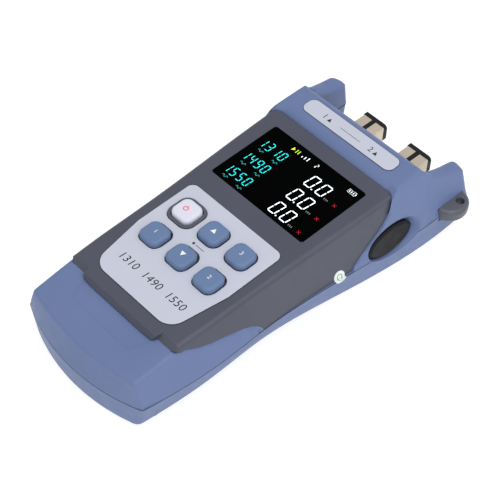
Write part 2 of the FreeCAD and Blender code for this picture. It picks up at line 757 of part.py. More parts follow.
# --------------------------------------------------------------------------------------
# Upper shell: bottom cap, frame under the bezel, head and the upper halves of the horns
# --------------------------------------------------------------------------------------
def make_upper_shell():
    cap = crowned_hull(stations(), cap_top, 0).common(end_block(PARTING, SKY, 0))
    cap = rounded(cap.common(row_box(-60, 60, -FAR, 0, 0, 99)), size("end_round"), end_edges)
    cap = cap.cut(panel_sink())
    head = crowned_hull(stations(), head_top, 0).common(horn_block(PARTING, PARTING + HORN_RISE, SKY))
    head = head.common(row_box(-60, 60, 0, FAR, 0, 99))
    back = size("head_back")
    fall = Part.BSplineCurve()
    fall.interpolate([Vector(-60, y, z) for y, z in (
        (back + 0.3, size("head_step") - 0.5), (back + 2.1, 0.4), (back + 5, -2.6), (back + 12.6, -5.8),
        (back + 19.6, -7.9), (back + 24.6, -10), (back + 27.8, -13.8), (back + 29.5, -20))])
    line = Part.makeLine
    a, b = Vector(-60, back - 0.6, size("head_step") + 0.2), Vector(-60, back - 0.6, 30)
    c, d = Vector(-60, back + 60, 30), Vector(-60, back + 60, -20)
    over_horns = Part.Face(Part.Wire([
        fall.toShape(), line(fall.EndPoint, d), line(d, c), line(c, b), line(b, a), line(a, fall.StartPoint),
    ])).extrude(Vector(120, 0, 0))
    over_horns.Placement = FACE
    head = head.cut(over_horns)
    head = head.cut(brow_cutter())
    shell = cap.fuse(head).removeSplitter()
    seat = bezel_zone(size("fit_gap")).cut(crowned_hull(BEZEL_SIDES, face_top, BEZEL_SEAT, PARTING - 2))
    wall_y = size("bay_foot") - size("bay_wall")
    flange_top = PARTING - size("port_drop") + size("adapter_height") / 2 + size("fit_gap")
    hollow = crowned_hull(BEZEL_SIDES, face_top, CEILING, PARTING - 1)
    hollow = hollow.common(end_block(PARTING, SKY, CEILING)).fuse(
        hollow.common(end_block(PARTING - 1, PARTING, CEILING)))
    hollow = hollow.cut(side_prism([(wall_y, -1), (wall_y, flange_top),
                                    (FACE.multVec(Vector(0, size("bay_top"), 0)).y - size("shell_wall"),
                                     PARTING + size("face_rise")),
                                    (40, 3 * PARTING), (FAR, 3 * PARTING), (FAR, -1)], 60, framed=False))
    half_w, high = size("window_width") / 2 + size("gasket_width"), size("window_height")
    reach = size("key_width") / 2 + size("key_flange") + 0.5
    key_x, key_y = key_place(1, 1)
    _, key_top = key_place(0, 0)
    windows = [
        face_box(-half_w, half_w, -size("gasket_width"), high + size("gasket_width"), -12, 5),
        face_box(-key_x - reach, key_x + reach, key_y - reach, key_top + reach, -12, 5),
    ]
    shell = shell.cut([seat, bay_cutter(), hollow] + windows + adapter_holes())
    shell = shell.fuse(dish_backing(PARTING, SKY).cut(bezel_zone(size("fit_gap"))))
    posts = [frustum(x, y, PARTING, min(PARTING + 14, cap_top(y) - 1), size("post_radius"))
             for x, y in screw_posts()]
    bosses = [face_post(x, y, -size("board_depth"), -CEILING + 1, size("boss_radius"))
              for x, y in board_bosses()]
    shell = shell.fuse(posts + bosses)
    pilots = [frustum(x, y, PARTING - 1, PARTING + 10, size("screw_radius") + 0.03) for x, y in screw_posts()]
    pilots += [face_post(x, y, -size("board_depth") - 1, -CEILING - 0.5, size("board_screw_radius") + 0.03)
               for x, y in board_bosses()]
    gap = size("fit_gap")
    sides = [
        oval(size("cover_long") + 0.2, size("cover_high") + 0.2, -size("cover_thick"), size("dish_depth"),
             size("dish_long"), size("dish_high"), (size("dish_shift"), size("dish_lift"))),
        oval(size("cover_long") - 1.5, size("cover_high") - 1.5, -12, 2),
        lug_block(gap),
    ]
    return shell.cut(pilots + sides)


def brow_cutter():
    """Space above the bezel's top edge; its sloping wall wraps the corners as a blue band."""
    wires = []
    run = size("head_front") - size("bezel_top")
    for z, grow in ((-0.6, 0), (size("head_step"), run), (20, run)):
        half, top = size("bezel_top_half") + grow, size("bezel_top") + grow
        bend = size("bezel_top_round") + grow
        turn = bend * (1 - math.sqrt(0.5))
        arcs = [Part.Arc(Vector(way * half, top - bend, z), Vector(way * (half - turn), top - turn, z),
                         Vector(way * (half - bend), top, z)).toShape() for way in (1, -1)]
        line = Part.makeLine
        wires.append(Part.Wire(Part.sortEdges([
            arcs[0], line(Vector(half - bend, top, z), Vector(bend - half, top, z)), arcs[1],
            line(Vector(-half, top - bend, z), Vector(-half, -40, z)),
            line(Vector(-half, -40, z), Vector(half, -40, z)),
            line(Vector(half, -40, z), Vector(half, top - bend, z)),
        ])[0]))
    cutter = Part.makeLoft(wires, True, True)
    cutter.Placement = FACE
    return cutter


def seam_groove():
    """Shadow groove that the two shells leave along the parting line, all round."""
    deep = size("seam")
    inner = keel_hull(deep).common(end_block(0, PARTING, deep))
    ends = horn_block(0, PARTING)
    ends.translate(Vector(0, -deep, 0))
    bay = side_prism([(size("bay_foot") - deep, -1), (size("bay_foot") - deep, 2 * PARTING),
                      (FAR, 2 * PARTING), (FAR, -1)], size("horn_inner_half") + deep, framed=False)
    inner = inner.common(ends).cut(bay)
    return row_box(-60, 60, -FAR, FAR, PARTING - deep, PARTING).cut(inner)


def panel_sink():
    """Shallow panel with sloping edges in the cap's top, between the bezel's foot and the end."""
    wires = []
    slope = math.tan(math.radians(size("cap_slope")))
    for off, spread in ((-size("panel_depth"), -0.5), (1.5, 1.5)):
        points = []
        for x, y in ((size("panel_half") + spread, -size("bezel_foot") + 4),
                     (size("panel_end_half") + spread, -size("panel_end") - spread)):
            points.append((x, y, off - size("cap_step") + slope * (y + size("bezel_foot"))))
        loop = points + [(-x, y, z) for x, y, z in reversed(points)]
        wires.append(Part.makePolygon([Vector(*p) for p in loop + loop[:1]]))
    sink = Part.makeLoft(wires, True, True)
    sink.Placement = FACE
    return sink


def dish_backing(low, high):
    """Wall behind the dish of the side cover, between two heights of one shell."""
    wall = size("dish_wall")
    back = oval(size("cover_long") + wall, size("cover_high") + wall, -size("cover_thick") - wall,
                size("dish_depth"), size("dish_long") + wall, size("dish_high") + wall, (size("dish_shift"), size("dish_lift")))
    hull = crowned_hull(BEZEL_SIDES, face_top, 0) if high > PARTING else keel_hull(0)
    return back.common(hull.common(row_box(20, 60, 0, size("head_reach") + 4, low, high)))


def lug_block(grow):
    """Strap lug without its bore, grown by a gap."""
    top = PARTING + size("lug_lift") + grow
    low = top - size("lug_thick") - 2 * grow
    half, edge, middle = size("lug_half_long") + grow, size("lug_edge"), size("lug_middle")
    root, spread = size("lug_root") - grow, size("lug_spread") + grow
    ear = Part.Ellipse(Vector(edge, middle + half, low), Vector(spread, middle, low), Vector(edge, middle, low))
    corners = [Vector(edge, middle - half, low), Vector(root, middle - half, low),
               Vector(root, middle + half, low), Vector(edge, middle + half, low)]
    outline = [ear.toShape(0, math.pi)] + [Part.makeLine(corners[i], corners[i + 1]) for i in range(3)]
    return Part.Face(Part.Wire(Part.sortEdges(outline)[0])).extrude(Vector(0, 0, top - low))


code_part("upper_shell", make_upper_shell())


# --------------------------------------------------------------------------------------
# Lower shell: back of the housing with the battery box, screw posts and lower horns
# --------------------------------------------------------------------------------------
def battery_room():
    """Sides of the battery box: left, right, foot and top."""
    half = 1.5 * size("cell_pitch") + 0.3
    foot = -size("cell_start")
    top = foot + size("cell_length") + size("spring_length") + 2 * size("contact_thick") + 0.2
    return -half, half, foot, top


def battery_roof():
    """Height of the battery box's inside above the back."""
    return size("door_sunk") + size("door_thick") + 2 * size("cell_radius") + 0.3


def make_lower_shell():
    wall = size("shell_wall")
    shell = keel_hull(0).common(end_block(-1, PARTING, 0)).common(horn_block(-1, PARTING))
    shell = rounded(shell, size("base_round") - 0.5, end_edges)
    shell = shell.common(row_box(-60, 60, -FAR, FAR, 0, PARTING))
    hollow = keel_hull(wall, PARTING + 1).common(end_block(0, PARTING, wall).fuse(
        end_block(PARTING, PARTING + 1, wall)))
    hollow = hollow.common(row_box(-60, 60, -FAR, size("bay_foot") - size("bay_wall"), 0, 60))
    shell = shell.cut([hollow, bay_cutter()]).fuse(dish_backing(0, PARTING))
    (left, right, foot, top), door, roof = battery_room(), size("door_thick") + size("door_sunk"), battery_roof()
    ledge = size("door_ledge")
    rim = ledge + wall
    shell = shell.fuse(row_box(left - rim, right + rim, foot - rim, top + rim, wall / 2, roof + 1.5))
    tab, tab_thick = size("tab_half") + 0.15, size("door_sunk") + size("tab_thick")
    tab_end = top + size("tab_length")
    shell = shell.fuse(row_box(-tab - wall, tab + wall, top, tab_end + wall, wall / 2, size("tab_boss")))
    cuts = [
        row_box(left - ledge, right + ledge, foot - ledge, top + ledge, -1, door),
        row_box(left, right, foot, top, -1, roof),
        row_box(-tab, tab, top + ledge - 1, tab_end + 0.15, -1, tab_thick),
        frustum(0, tab_end - size("tab_half"), -1, size("tab_boss") - 1.0, size("door_screw_radius") + 0.03),
    ]
    posts = [frustum(x, y, wall / 2, PARTING, size("post_radius") + 0.6) for x, y in screw_posts()]
    shell = shell.fuse(posts)
    for x, y in screw_posts():
        cuts.append(frustum(x, y, -1, size("screw_sunk") + size("screw_head_thick"), size("screw_head_radius") + 0.2))
        cuts.append(frustum(x, y, -1, PARTING + 1, size("screw_radius") + 0.1))
    cuts += adapter_holes()
    cuts += [
        seam_groove(),
        oval(size("cover_long") + 0.2, size("cover_high") + 0.2, -size("cover_thick"), size("dish_depth"),
             size("dish_long"), size("dish_high"), (size("dish_shift"), size("dish_lift"))),
        oval(size("cover_long") - 1.5, size("cover_high") - 1.5, -12, 2),
        lug_block(size("fit_gap")),
    ]
    return shell.cut(cuts)


code_part("lower_shell", make_lower_shell())


# --------------------------------------------------------------------------------------
# Display: tinted window, foam gasket and display module
# --------------------------------------------------------------------------------------
window = new_body("display_window", on_face=True)
outline = sketch_on(window, "window_outline", y="Sizes.window_height / 2", z="-Sizes.window_thick")
draw_rectangle(outline, "Sizes.window_width", "Sizes.window_height")
slab = pad(window, outline, "Sizes.window_thick")
fillet(window, slab, "Sizes.window_corner", upright)

gasket = new_body("display_gasket", on_face=True)
outline = sketch_on(gasket, "gasket_outline", y="Sizes.window_height / 2",
                    z="-Sizes.bezel_thick - Sizes.gasket_thick")
draw_rectangle(outline, "Sizes.window_width", "Sizes.window_height")
draw_rectangle(outline, "Sizes.window_width - 2 * Sizes.view_border", "Sizes.window_height - 2 * Sizes.view_border")
pad(gasket, outline, "Sizes.gasket_thick")

module = new_body("display_module", on_face=True)
outline = sketch_on(module, "module_outline", y="Sizes.window_height / 2", z="-Sizes.board_depth")
draw_rectangle(outline, "Sizes.window_width + Sizes.gasket_width", "Sizes.window_height + Sizes.gasket_width")
pad(module, outline, "Sizes.board_depth - Sizes.bezel_thick - Sizes.gasket_thick")


# --------------------------------------------------------------------------------------
# Labels: thin printed overlays on the keypad and on the head
# --------------------------------------------------------------------------------------
label = new_body("keypad_label", on_face=True)
outline = sketch_on(label, "keypad_label_outline", y="-Sizes.label_top")
draw_tapered(outline, [
    ("Sizes.label_half", "0"), ("Sizes.label_half", "Sizes.label_bend - Sizes.label_top"),
    ("Sizes.label_foot_half", "Sizes.label_foot - Sizes.label_top"),
])
overlay = pad(label, outline, "Sizes.label_thick")
top_corners = fillet(label, overlay, "Sizes.label_corner",
                     lambda e: upright(e) and e.Vertexes[0].Y > -size("label_top") - 0.1)
fillet(label, top_corners, "Sizes.label_foot_corner",
       lambda e: upright(e) and e.Vertexes[0].Y < -size("label_foot") + 0.1)
for name, column, line in KEYS:
    hole = sketch_on(label, f"label_{name}_hole", x=f"{column} * Sizes.key_pitch",
                     y=f"-Sizes.key_row - {line} * Sizes.key_row_pitch", z="-1")
    if name == "power_key":
        draw_rectangle(hole, "Sizes.power_ring_width + 0.3", "Sizes.power_ring_width + 0.3")
    else:
        draw_rectangle(hole, "Sizes.key_width + 2 * Sizes.key_gap", "Sizes.key_width + 2 * Sizes.key_gap")
    cut = pocket(label, hole, "3", reverse=True)
    x, y = key_place(column, line)
    wide = size("power_ring_width") if name == "power_key" else size("key_width") + 2 * size("key_gap")
    fillet(label, cut, "Sizes.power_ring_corner" if name == "power_key" else "Sizes.key_corner",
           lambda e: upright(e) and abs(abs(e.Vertexes[0].X - x) - wide / 2) < 0.3
           and abs(abs(e.Vertexes[0].Y - y) - wide / 2) < 0.3)

head_label = new_body("head_label", on_face=True)
outline = sketch_on(head_label, "head_label_outline", z="Sizes.head_step",
                    y="Sizes.head_label_start + Sizes.head_label_width / 2")
draw_rectangle(outline, "Sizes.head_label_length", "Sizes.head_label_width")
overlay = pad(head_label, outline, "Sizes.label_thick")
fillet(head_label, overlay, "Sizes.head_label_corner", upright)


# --------------------------------------------------------------------------------------
# Keys: moulded caps with a retaining flange and a post that meets the switch's plunger
# --------------------------------------------------------------------------------------
POST_END = "(Sizes.board_depth - Sizes.switch_height - Sizes.key_travel - 0.1)"
FLANGE_BOTTOM = "(Sizes.bezel_thick + Sizes.key_flange_thick)"
for name, column, line in KEYS:
    x = f"{column} * Sizes.key_pitch"
    y = f"-Sizes.key_row - {line} * Sizes.key_row_pitch"
    wide = "Sizes.power_key_width" if name == "power_key" else "Sizes.key_width"
    key = new_body(name, on_face=True)
    outline = sketch_on(key, f"{name}_cap", x=x, y=y, z="-Sizes.bezel_thick")
    draw_rectangle(outline, wide, wide)
    cap = pad(key, outline, "Sizes.bezel_thick + Sizes.key_height")
    cap = fillet(key, cap, "Sizes.key_corner", upright)
    fillet(key, cap, "Sizes.key_edge", at_height(size("key_height")))
    outline = sketch_on(key, f"{name}_flange", x=x, y=y, z=f"-{FLANGE_BOTTOM}")
    draw_rectangle(outline, "Sizes.key_width + 2 * Sizes.key_flange", "Sizes.key_width + 2 * Sizes.key_flange")
    pad(key, outline, "Sizes.key_flange_thick")
    outline = sketch_on(key, f"{name}_post", x=x, y=y, z=f"-{POST_END}")
    draw_circle(outline, "Sizes.key_post")
    pad(key, outline, f"{POST_END} - {FLANGE_BOTTOM}")
    plunger = new_body(name.replace("_key", "_plunger"), on_face=True)
    outline = sketch_on(plunger, f"{name}_plunger_round", x=x, y=y,
                        z="-(Sizes.board_depth - Sizes.switch_height + Sizes.plunger_depth)")
    draw_circle(outline, "Sizes.plunger_radius")
    pad(plunger, outline, "Sizes.key_travel + 0.1 + Sizes.plunger_depth")

ring = new_body("power_key_ring", on_face=True)
outline = sketch_on(ring, "ring_outline", x="-Sizes.key_pitch", y="-Sizes.key_row", z="-Sizes.bezel_thick")
draw_rectangle(outline, "Sizes.power_ring_width - 0.1", "Sizes.power_ring_width - 0.1")
band = pad(ring, outline, "Sizes.bezel_thick + Sizes.power_ring_height")
outline = sketch_on(ring, "ring_hole", x="-Sizes.key_pitch", y="-Sizes.key_row", z="-5")
draw_rectangle(outline, "Sizes.power_key_width + 2 * Sizes.key_gap", "Sizes.power_key_width + 2 * Sizes.key_gap")
hole = pocket(ring, outline, "12", reverse=True)
ring_half = size("power_key_width") / 2 + size("key_gap")
hole = fillet(ring, hole, "Sizes.key_corner",
              lambda e: upright(e) and abs(abs(e.Vertexes[0].X + size("key_pitch")) - ring_half) < 1e-3)
fillet(ring, hole, "Sizes.power_ring_corner",
       lambda e: upright(e) and abs(abs(e.Vertexes[0].X + size("key_pitch"))
                                    - size("power_ring_width") / 2 + 0.05) < 1e-3)


# --------------------------------------------------------------------------------------
# Board, key switches and board screws
# --------------------------------------------------------------------------------------
board = new_body("main_board", on_face=True)
outline = sketch_on(board, "board_outline", y="(Sizes.board_top - Sizes.board_foot) / 2",
                    z="-Sizes.board_depth - Sizes.board_thick")
draw_rectangle(outline, "2 * Sizes.board_half", "Sizes.board_top + Sizes.board_foot")
slab = pad(board, outline, "Sizes.board_thick")
fillet(board, slab, "1.5", upright)
for number, (x, y) in enumerate(board_bosses()):
    side = "1" if x > 0 else "-1"
    end = "-Sizes.board_foot + 1.2 * Sizes.boss_radius" if y < 0 else "Sizes.board_top - 1.2 * Sizes.boss_radius"
    hole = sketch_on(board, f"board_hole_{number}", y=end, z="-Sizes.board_depth - Sizes.board_thick - 1",
                     x=f"{side} * (Sizes.board_half - 1.2 * Sizes.boss_radius)")
    draw_circle(hole, "Sizes.board_screw_radius + 0.15")
    pocket(board, hole, "Sizes.board_thick + 2", reverse=True)


def make_switches():
    """Six switch housings on the board, each bored for its plunger."""
    bottom = -size("board_depth")
    half, high = size("switch_width") / 2, size("switch_height")
    deep = size("plunger_depth") + size("key_travel") + 0.2
    switches = []
    for _, column, line in KEYS:
        x, y = key_place(column, line)
        case = Part.makeBox(2 * half, 2 * half, high, Vector(x - half, y - half, bottom))
        bore = Part.makeCylinder(size("plunger_radius") + size("plunger_clearance"), deep + 1,
                                 Vector(x, y, bottom + high - deep))
        switches.append(case.cut(bore))
    return Part.makeCompound(switches)


code_part("key_switches", make_switches(), FACE)


def make_screw(x, y, seat, length, radius, head_radius, head_thick):
    """Screw pointing up from its head's upper face at seat."""
    head = Part.makeCone(head_radius * 0.8, head_radius, head_thick * 0.4, Vector(x, y, seat - head_thick))
    head = head.fuse(Part.makeCylinder(head_radius, head_thick * 0.6, Vector(x, y, seat - head_thick * 0.6)))
    slot = Part.makeBox(head_radius * 1.2, head_radius * 0.3, head_thick * 0.5,
                        Vector(x - head_radius * 0.6, y - head_radius * 0.15, seat - head_thick))
    cross = slot.copy()
    cross.rotate(Vector(x, y, 0), Vector(0, 0, 1), 90)
    shank = Part.makeCylinder(radius, length - radius, Vector(x, y, seat))
    point = Part.makeCone(radius, radius * 0.3, radius, Vector(x, y, seat + length - radius))
    return head.fuse([shank, point]).cut([slot, cross])


code_part("board_screws", Part.makeCompound([
    make_screw(x, y, -size("board_depth") - size("board_thick"), size("board_screw_length"),
               size("board_screw_radius"), size("board_screw_head"), 1.3)
    for x, y in board_bosses()
]), FACE)
code_part("shell_screws", Part.makeCompound([
    make_screw(x, y, size("screw_sunk") + size("screw_head_thick"), size("screw_length"),
               size("screw_radius"), size("screw_head_radius"), size("screw_head_thick"))
    for x, y in screw_posts()
]))


# --------------------------------------------------------------------------------------
# Fibre ports: square adapters with alignment sleeves, detectors and dust caps
# --------------------------------------------------------------------------------------
PORT_Z = "(Sizes.lower_depth - Sizes.port_drop)"
for side, name in ((-1, "left"), (1, "right")):
    x = f"{side} * Sizes.port_spacing / 2"

    # Along a port's own Z, which points out of the housing, 0 is the adapter's back end.
    def port_body(label):
        body = new_body(label, x=x, y="Sizes.adapter_back", z=PORT_Z)
        turned = Placement(Vector(), Rotation(Vector(1, 0, 0), -90))
        body.Placement.Rotation = turned.Rotation
        return body

    reach = "(Sizes.adapter_mouth - Sizes.adapter_back)"
    adapter = port_body(f"adapter_{name}")
    outline = sketch_on(adapter, f"adapter_{name}_outside")
    draw_rectangle(outline, "Sizes.adapter_width", "Sizes.adapter_height")
    barrel = pad(adapter, outline, reach)
    fillet(adapter, barrel, "0.6", upright)
    flange_at = "(Sizes.bay_foot - Sizes.bay_wall - Sizes.flange_thick - Sizes.adapter_back)"
    outline = sketch_on(adapter, f"adapter_{name}_flange", z=flange_at)
    draw_rectangle(outline, "Sizes.flange_width", "Sizes.adapter_height")
    pad(adapter, outline, "Sizes.flange_thick")
    outline = sketch_on(adapter, f"adapter_{name}_mouth", z=f"{reach} - Sizes.mouth_depth")
    draw_rectangle(outline, "Sizes.mouth_width", "Sizes.mouth_height")
    pocket(adapter, outline, "Sizes.mouth_depth + 5", reverse=True)
    outline = sketch_on(adapter, f"adapter_{name}_keyway", z=f"{reach} - Sizes.mouth_depth",
                        y="-Sizes.adapter_height / 2")
    draw_rectangle(outline, "Sizes.keyway_width", "Sizes.adapter_height - Sizes.mouth_height + 0.6")
    pocket(adapter, outline, "Sizes.mouth_depth + 5", reverse=True)
    outline = sketch_on(adapter, f"adapter_{name}_holder", z=f"{reach} - Sizes.mouth_depth - 1")
    draw_circle(outline, "Sizes.sleeve_holder_radius")
    pad(adapter, outline, "Sizes.sleeve_length / 2 + 2")
    outline = sketch_on(adapter, f"adapter_{name}_back", z="-1")
    draw_rectangle(outline, "Sizes.mouth_width", "Sizes.mouth_height")
    pocket(adapter, outline, f"{reach} - Sizes.mouth_depth - 2", reverse=True)
    outline = sketch_on(adapter, f"adapter_{name}_bore", z="-1")
    draw_circle(outline, "Sizes.sleeve_radius + 0.05")
    pocket(adapter, outline, "Sizes.adapter_mouth - Sizes.adapter_back + 5", reverse=True)

    sleeve = port_body(f"alignment_sleeve_{name}")
    outline = sketch_on(sleeve, f"sleeve_{name}_round", z=f"{reach} - Sizes.mouth_depth - Sizes.sleeve_length / 2")
    draw_circle(outline, "Sizes.sleeve_radius")
    draw_circle(outline, "Sizes.sleeve_bore")
    pad(sleeve, outline, "Sizes.sleeve_length")

    detector = port_body(f"detector_{name}")
    outline = sketch_on(detector, f"detector_{name}_can", z="-Sizes.detector_length + 4")
    draw_circle(outline, "Sizes.mouth_height / 2 - 0.1")
    pad(detector, outline, "Sizes.detector_length")

    cap = port_body(f"dust_cap_{name}")
    outline = sketch_on(cap, f"dust_cap_{name}_plate", z=reach)
    draw_rectangle(outline, "Sizes.cap_plate_width", "Sizes.cap_plate_height")
    plate = pad(cap, outline, "Sizes.cap_plate_thick")
    fillet(cap, plate, "2.0", lambda e: upright(e) and e.Vertexes[0].X > 0)
    outline = sketch_on(cap, f"dust_cap_{name}_plug", z=f"{reach} - Sizes.cap_reach")
    draw_rectangle(outline, "Sizes.mouth_width - 2 * Sizes.cap_clearance",
                   "Sizes.mouth_height - 2 * Sizes.cap_clearance")
    pad(cap, outline, "Sizes.cap_reach")
    outline = sketch_on(cap, f"dust_cap_{name}_rib", z=f"{reach} - Sizes.cap_reach",
                        y="-Sizes.adapter_height / 2 + 0.5")
    draw_rectangle(outline, "Sizes.keyway_width - 2 * Sizes.cap_clearance",
                   "Sizes.adapter_height - Sizes.mouth_height - 0.8")
    pad(cap, outline, "Sizes.cap_reach")
    outline = sketch_on(cap, f"dust_cap_{name}_bore", z=f"{reach} - Sizes.cap_reach - 1")
    draw_circle(outline, "Sizes.sleeve_holder_radius + 0.3")
    pocket(cap, outline, "Sizes.cap_reach - 0.5", reverse=True)


# --------------------------------------------------------------------------------------
# Strap lug, port cover and the sockets behind it
# --------------------------------------------------------------------------------------
def make_lug():
    """Half-oval lug with rounded rims and a bore for a strap."""
    spread = size("lug_spread")
    lug = rounded(lug_block(0), size("lug_rim"), lambda e: e.BoundBox.ZLength < 1e-6
                  and e.BoundBox.XMax > spread - 0.5)
    bore = frustum(size("lug_out"), size("lug_reach"), -1, 99, size("lug_bore"))
    return lug.cut(bore)


code_part("strap_lug", make_lug())


def make_port_cover():
    """Soft bung: domed oval face with a spigot that plugs the opening in the shells."""
    long, high = size("cover_long"), size("cover_high")
    face = oval(long, high, -size("cover_thick") + 0.05, -0.6).fuse(
        oval(long, high, -0.6, 0.1, long - 1.2, high - 1.2))
    spigot = oval(long - 1.7, high - 1.7, -size("cover_thick") - size("cover_spigot"), -size("cover_thick") + 0.05)
    return face.fuse(spigot).removeSplitter()


code_part("port_cover", make_port_cover())


def make_socket(start, opening):
    """Upright socket hanging from the board, its mouth facing the port cover."""
    width = size("socket_length")
    roof = face_height(start, -size("board_depth") - size("board_thick")) - 0.1
    right = size("cover_out") - size("cover_thick") - size("cover_spigot") - 4.5
    low = PARTING + size("cover_lift") - size("socket_width") / 2
    body = row_box(right - 14, right, start, start + width - 2, low, roof)
    middle = Vector(right - 9, start + width / 2 - 1, PARTING + size("cover_lift"))
    return body.cut(Part.makeCylinder(opening, 20, middle, Vector(1, 0, 0)))


SOCKET_START = size("cover_reach") - size("socket_length") + 2 - size("socket_gap") / 2
code_part("charge_socket", make_socket(SOCKET_START, 3.0))
code_part("data_socket", make_socket(size("cover_reach") + size("socket_gap") / 2, 2.2))


# --------------------------------------------------------------------------------------
# Battery: cells, contacts, springs, door and its screw
# --------------------------------------------------------------------------------------
def make_battery():
    """Cells, end contacts and springs, as three groups of separate solids."""
    left, right, foot, top = battery_room()
    radius, length, thick = size("cell_radius"), size("cell_length"), size("contact_thick")
    axis = Vector(0, 1, 0)
    cells, plates, springs = [], [], []
    for number in (-1, 0, 1):
        x = number * size("cell_pitch")
        z = size("door_sunk") + size("door_thick") + radius + 0.05
        start = foot + thick + 0.05
        can = Part.makeCylinder(radius, length - 1.5, Vector(x, start + 1.5, z), axis)
        button = Part.makeCylinder(size("cell_button"), 1.5, Vector(x, start, z), axis)
        cells.append(can.fuse(button))
        for y in (foot, top - thick):
            plates.append(row_box(x - 5, x + 5, y, y + thick, z - 5, z + 5))
        end = start + length + 0.05
        springs.append(Part.makeCone(2.5, 4.5, top - thick - 0.05 - end, Vector(x, end, z), axis))
    return cells, plates, springs


cells, plates, springs = make_battery()
code_part("battery_cells", Part.makeCompound(cells))
code_part("battery_contacts", Part.makeCompound(plates))
code_part("contact_springs", Part.makeCompound(springs))


def make_door():
    """Flat door in the back with finger ribs, held by one screw."""
    left, right, foot, top = battery_room()
    reach = size("door_ledge") - 0.15
    low, high = size("door_sunk"), size("door_sunk") + size("door_thick")
    door = row_box(left - reach, right + reach, foot - reach, top + reach, low, high)
    tab, tab_end = size("tab_half"), top + size("tab_length")
    door = door.fuse(row_box(-tab, tab, top + size("door_ledge"), tab_end, low, low + size("tab_thick")))
    door = door.fuse(row_box(-tab, tab, top, top + size("door_ledge"), low, high))
    cuts = [row_box(-9, 9, foot + 6 + 2.4 * n, foot + 7.2 + 2.4 * n, low - 1, low + 0.5) for n in range(4)]
    cuts.append(frustum(0, tab_end - tab, -1, size("door_screw_seat"), size("door_screw_head") + 0.2))
    cuts.append(frustum(0, tab_end - tab, -1, 9, size("door_screw_radius") + 0.15))
    return door.cut(cuts).removeSplitter()


code_part("battery_door", make_door())
code_part("battery_door_screw", make_screw(
    0, battery_room()[3] + size("tab_length") - size("tab_half"), size("door_screw_seat"),
    size("door_screw_length"), size("door_screw_radius"), size("door_screw_head"), 1.5))


# --------------------------------------------------------------------------------------
# Inspection sticker: a thin round on the right side, across the parting line
# --------------------------------------------------------------------------------------
def make_sticker():
    radius, thick = size("sticker_radius"), size("sticker_thick")
    y = size("sticker_reach")
    tube = Part.makeCylinder(radius, 12, Vector(37, y, PARTING + 1.2), Vector(1, 0, 0))
    outer = crowned_hull(BEZEL_SIDES, face_top, -thick)
    inner = crowned_hull(BEZEL_SIDES, face_top, 0, PARTING - 1)
    layer = tube.common(outer.fuse(keel_hull(-thick, PARTING + thick)))
    return layer.cut([inner, keel_hull(0)]).removeSplitter()


code_part("inspection_sticker", make_sticker())


# --------------------------------------------------------------------------------------
# Check every sub-part and write it
# --------------------------------------------------------------------------------------
doc.recompute()
for thing in doc.Objects:
    assert not {"Invalid", "Error"} & set(thing.State), f"{thing.Label} failed"

os.makedirs("parts", exist_ok=True)
for thing in doc.Objects:
    if thing.TypeId in ("PartDesign::Body", "Part::Feature"):
        shape = thing.Shape
        assert not shape.isNull() and shape.isValid() and shape.Solids, f"{thing.Label} is not a solid"
        shape.exportStep(f"parts/{thing.Label}.step")
        print(thing.Label, len(shape.Solids), round(shape.Volume, 1))
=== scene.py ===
import math
import json
import bmesh
import bpy
from mathutils import Matrix, Vector


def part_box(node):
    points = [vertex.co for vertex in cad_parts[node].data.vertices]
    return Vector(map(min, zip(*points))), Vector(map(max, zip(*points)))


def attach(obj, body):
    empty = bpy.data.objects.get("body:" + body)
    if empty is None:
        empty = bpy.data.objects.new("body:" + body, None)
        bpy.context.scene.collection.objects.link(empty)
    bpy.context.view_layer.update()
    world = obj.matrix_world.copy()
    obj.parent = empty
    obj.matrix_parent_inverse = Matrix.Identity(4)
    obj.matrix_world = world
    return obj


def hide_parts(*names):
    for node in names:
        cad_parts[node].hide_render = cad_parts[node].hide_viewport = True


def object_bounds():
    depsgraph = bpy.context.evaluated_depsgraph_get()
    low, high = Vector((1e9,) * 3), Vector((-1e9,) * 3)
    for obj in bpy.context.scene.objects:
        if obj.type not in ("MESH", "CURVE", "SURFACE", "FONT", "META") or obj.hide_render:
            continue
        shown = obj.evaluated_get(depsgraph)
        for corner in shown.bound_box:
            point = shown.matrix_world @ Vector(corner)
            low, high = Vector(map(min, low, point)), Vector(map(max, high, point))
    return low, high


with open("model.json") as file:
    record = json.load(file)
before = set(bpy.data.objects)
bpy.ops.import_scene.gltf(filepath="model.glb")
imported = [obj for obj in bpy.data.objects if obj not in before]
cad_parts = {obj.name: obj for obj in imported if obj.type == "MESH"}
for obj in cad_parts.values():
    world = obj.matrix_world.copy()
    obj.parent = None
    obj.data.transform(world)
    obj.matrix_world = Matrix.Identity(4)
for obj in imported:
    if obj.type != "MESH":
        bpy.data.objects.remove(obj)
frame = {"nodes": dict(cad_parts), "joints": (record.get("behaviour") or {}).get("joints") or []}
cad_box = [list(map(float, corner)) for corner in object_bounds()]
nodes = frame["nodes"]

# --- Housing shells ---------------------------------------------------------------------
# Two blue shells and the battery door, injection moulded in filled plastic with a satin
# spark-eroded grain, screwed together from behind.


def link(tree, start, end):
    """Joins two sockets of a material."""
    tree.links.new(start, end)


def noise(tree, scale, detail=3.0):
    """Noise in the piece's own metres; scale is waves to the metre."""
    place = tree.nodes.new("ShaderNodeTexCoord")
    texture = tree.nodes.new("ShaderNodeTexNoise")
    texture.inputs["Scale"].default_value = scale
    texture.inputs["Detail"].default_value = detail
    texture.inputs["Roughness"].default_value = 0.5
    link(tree, place.outputs["Object"], texture.inputs["Vector"])
    return texture.outputs["Fac"]


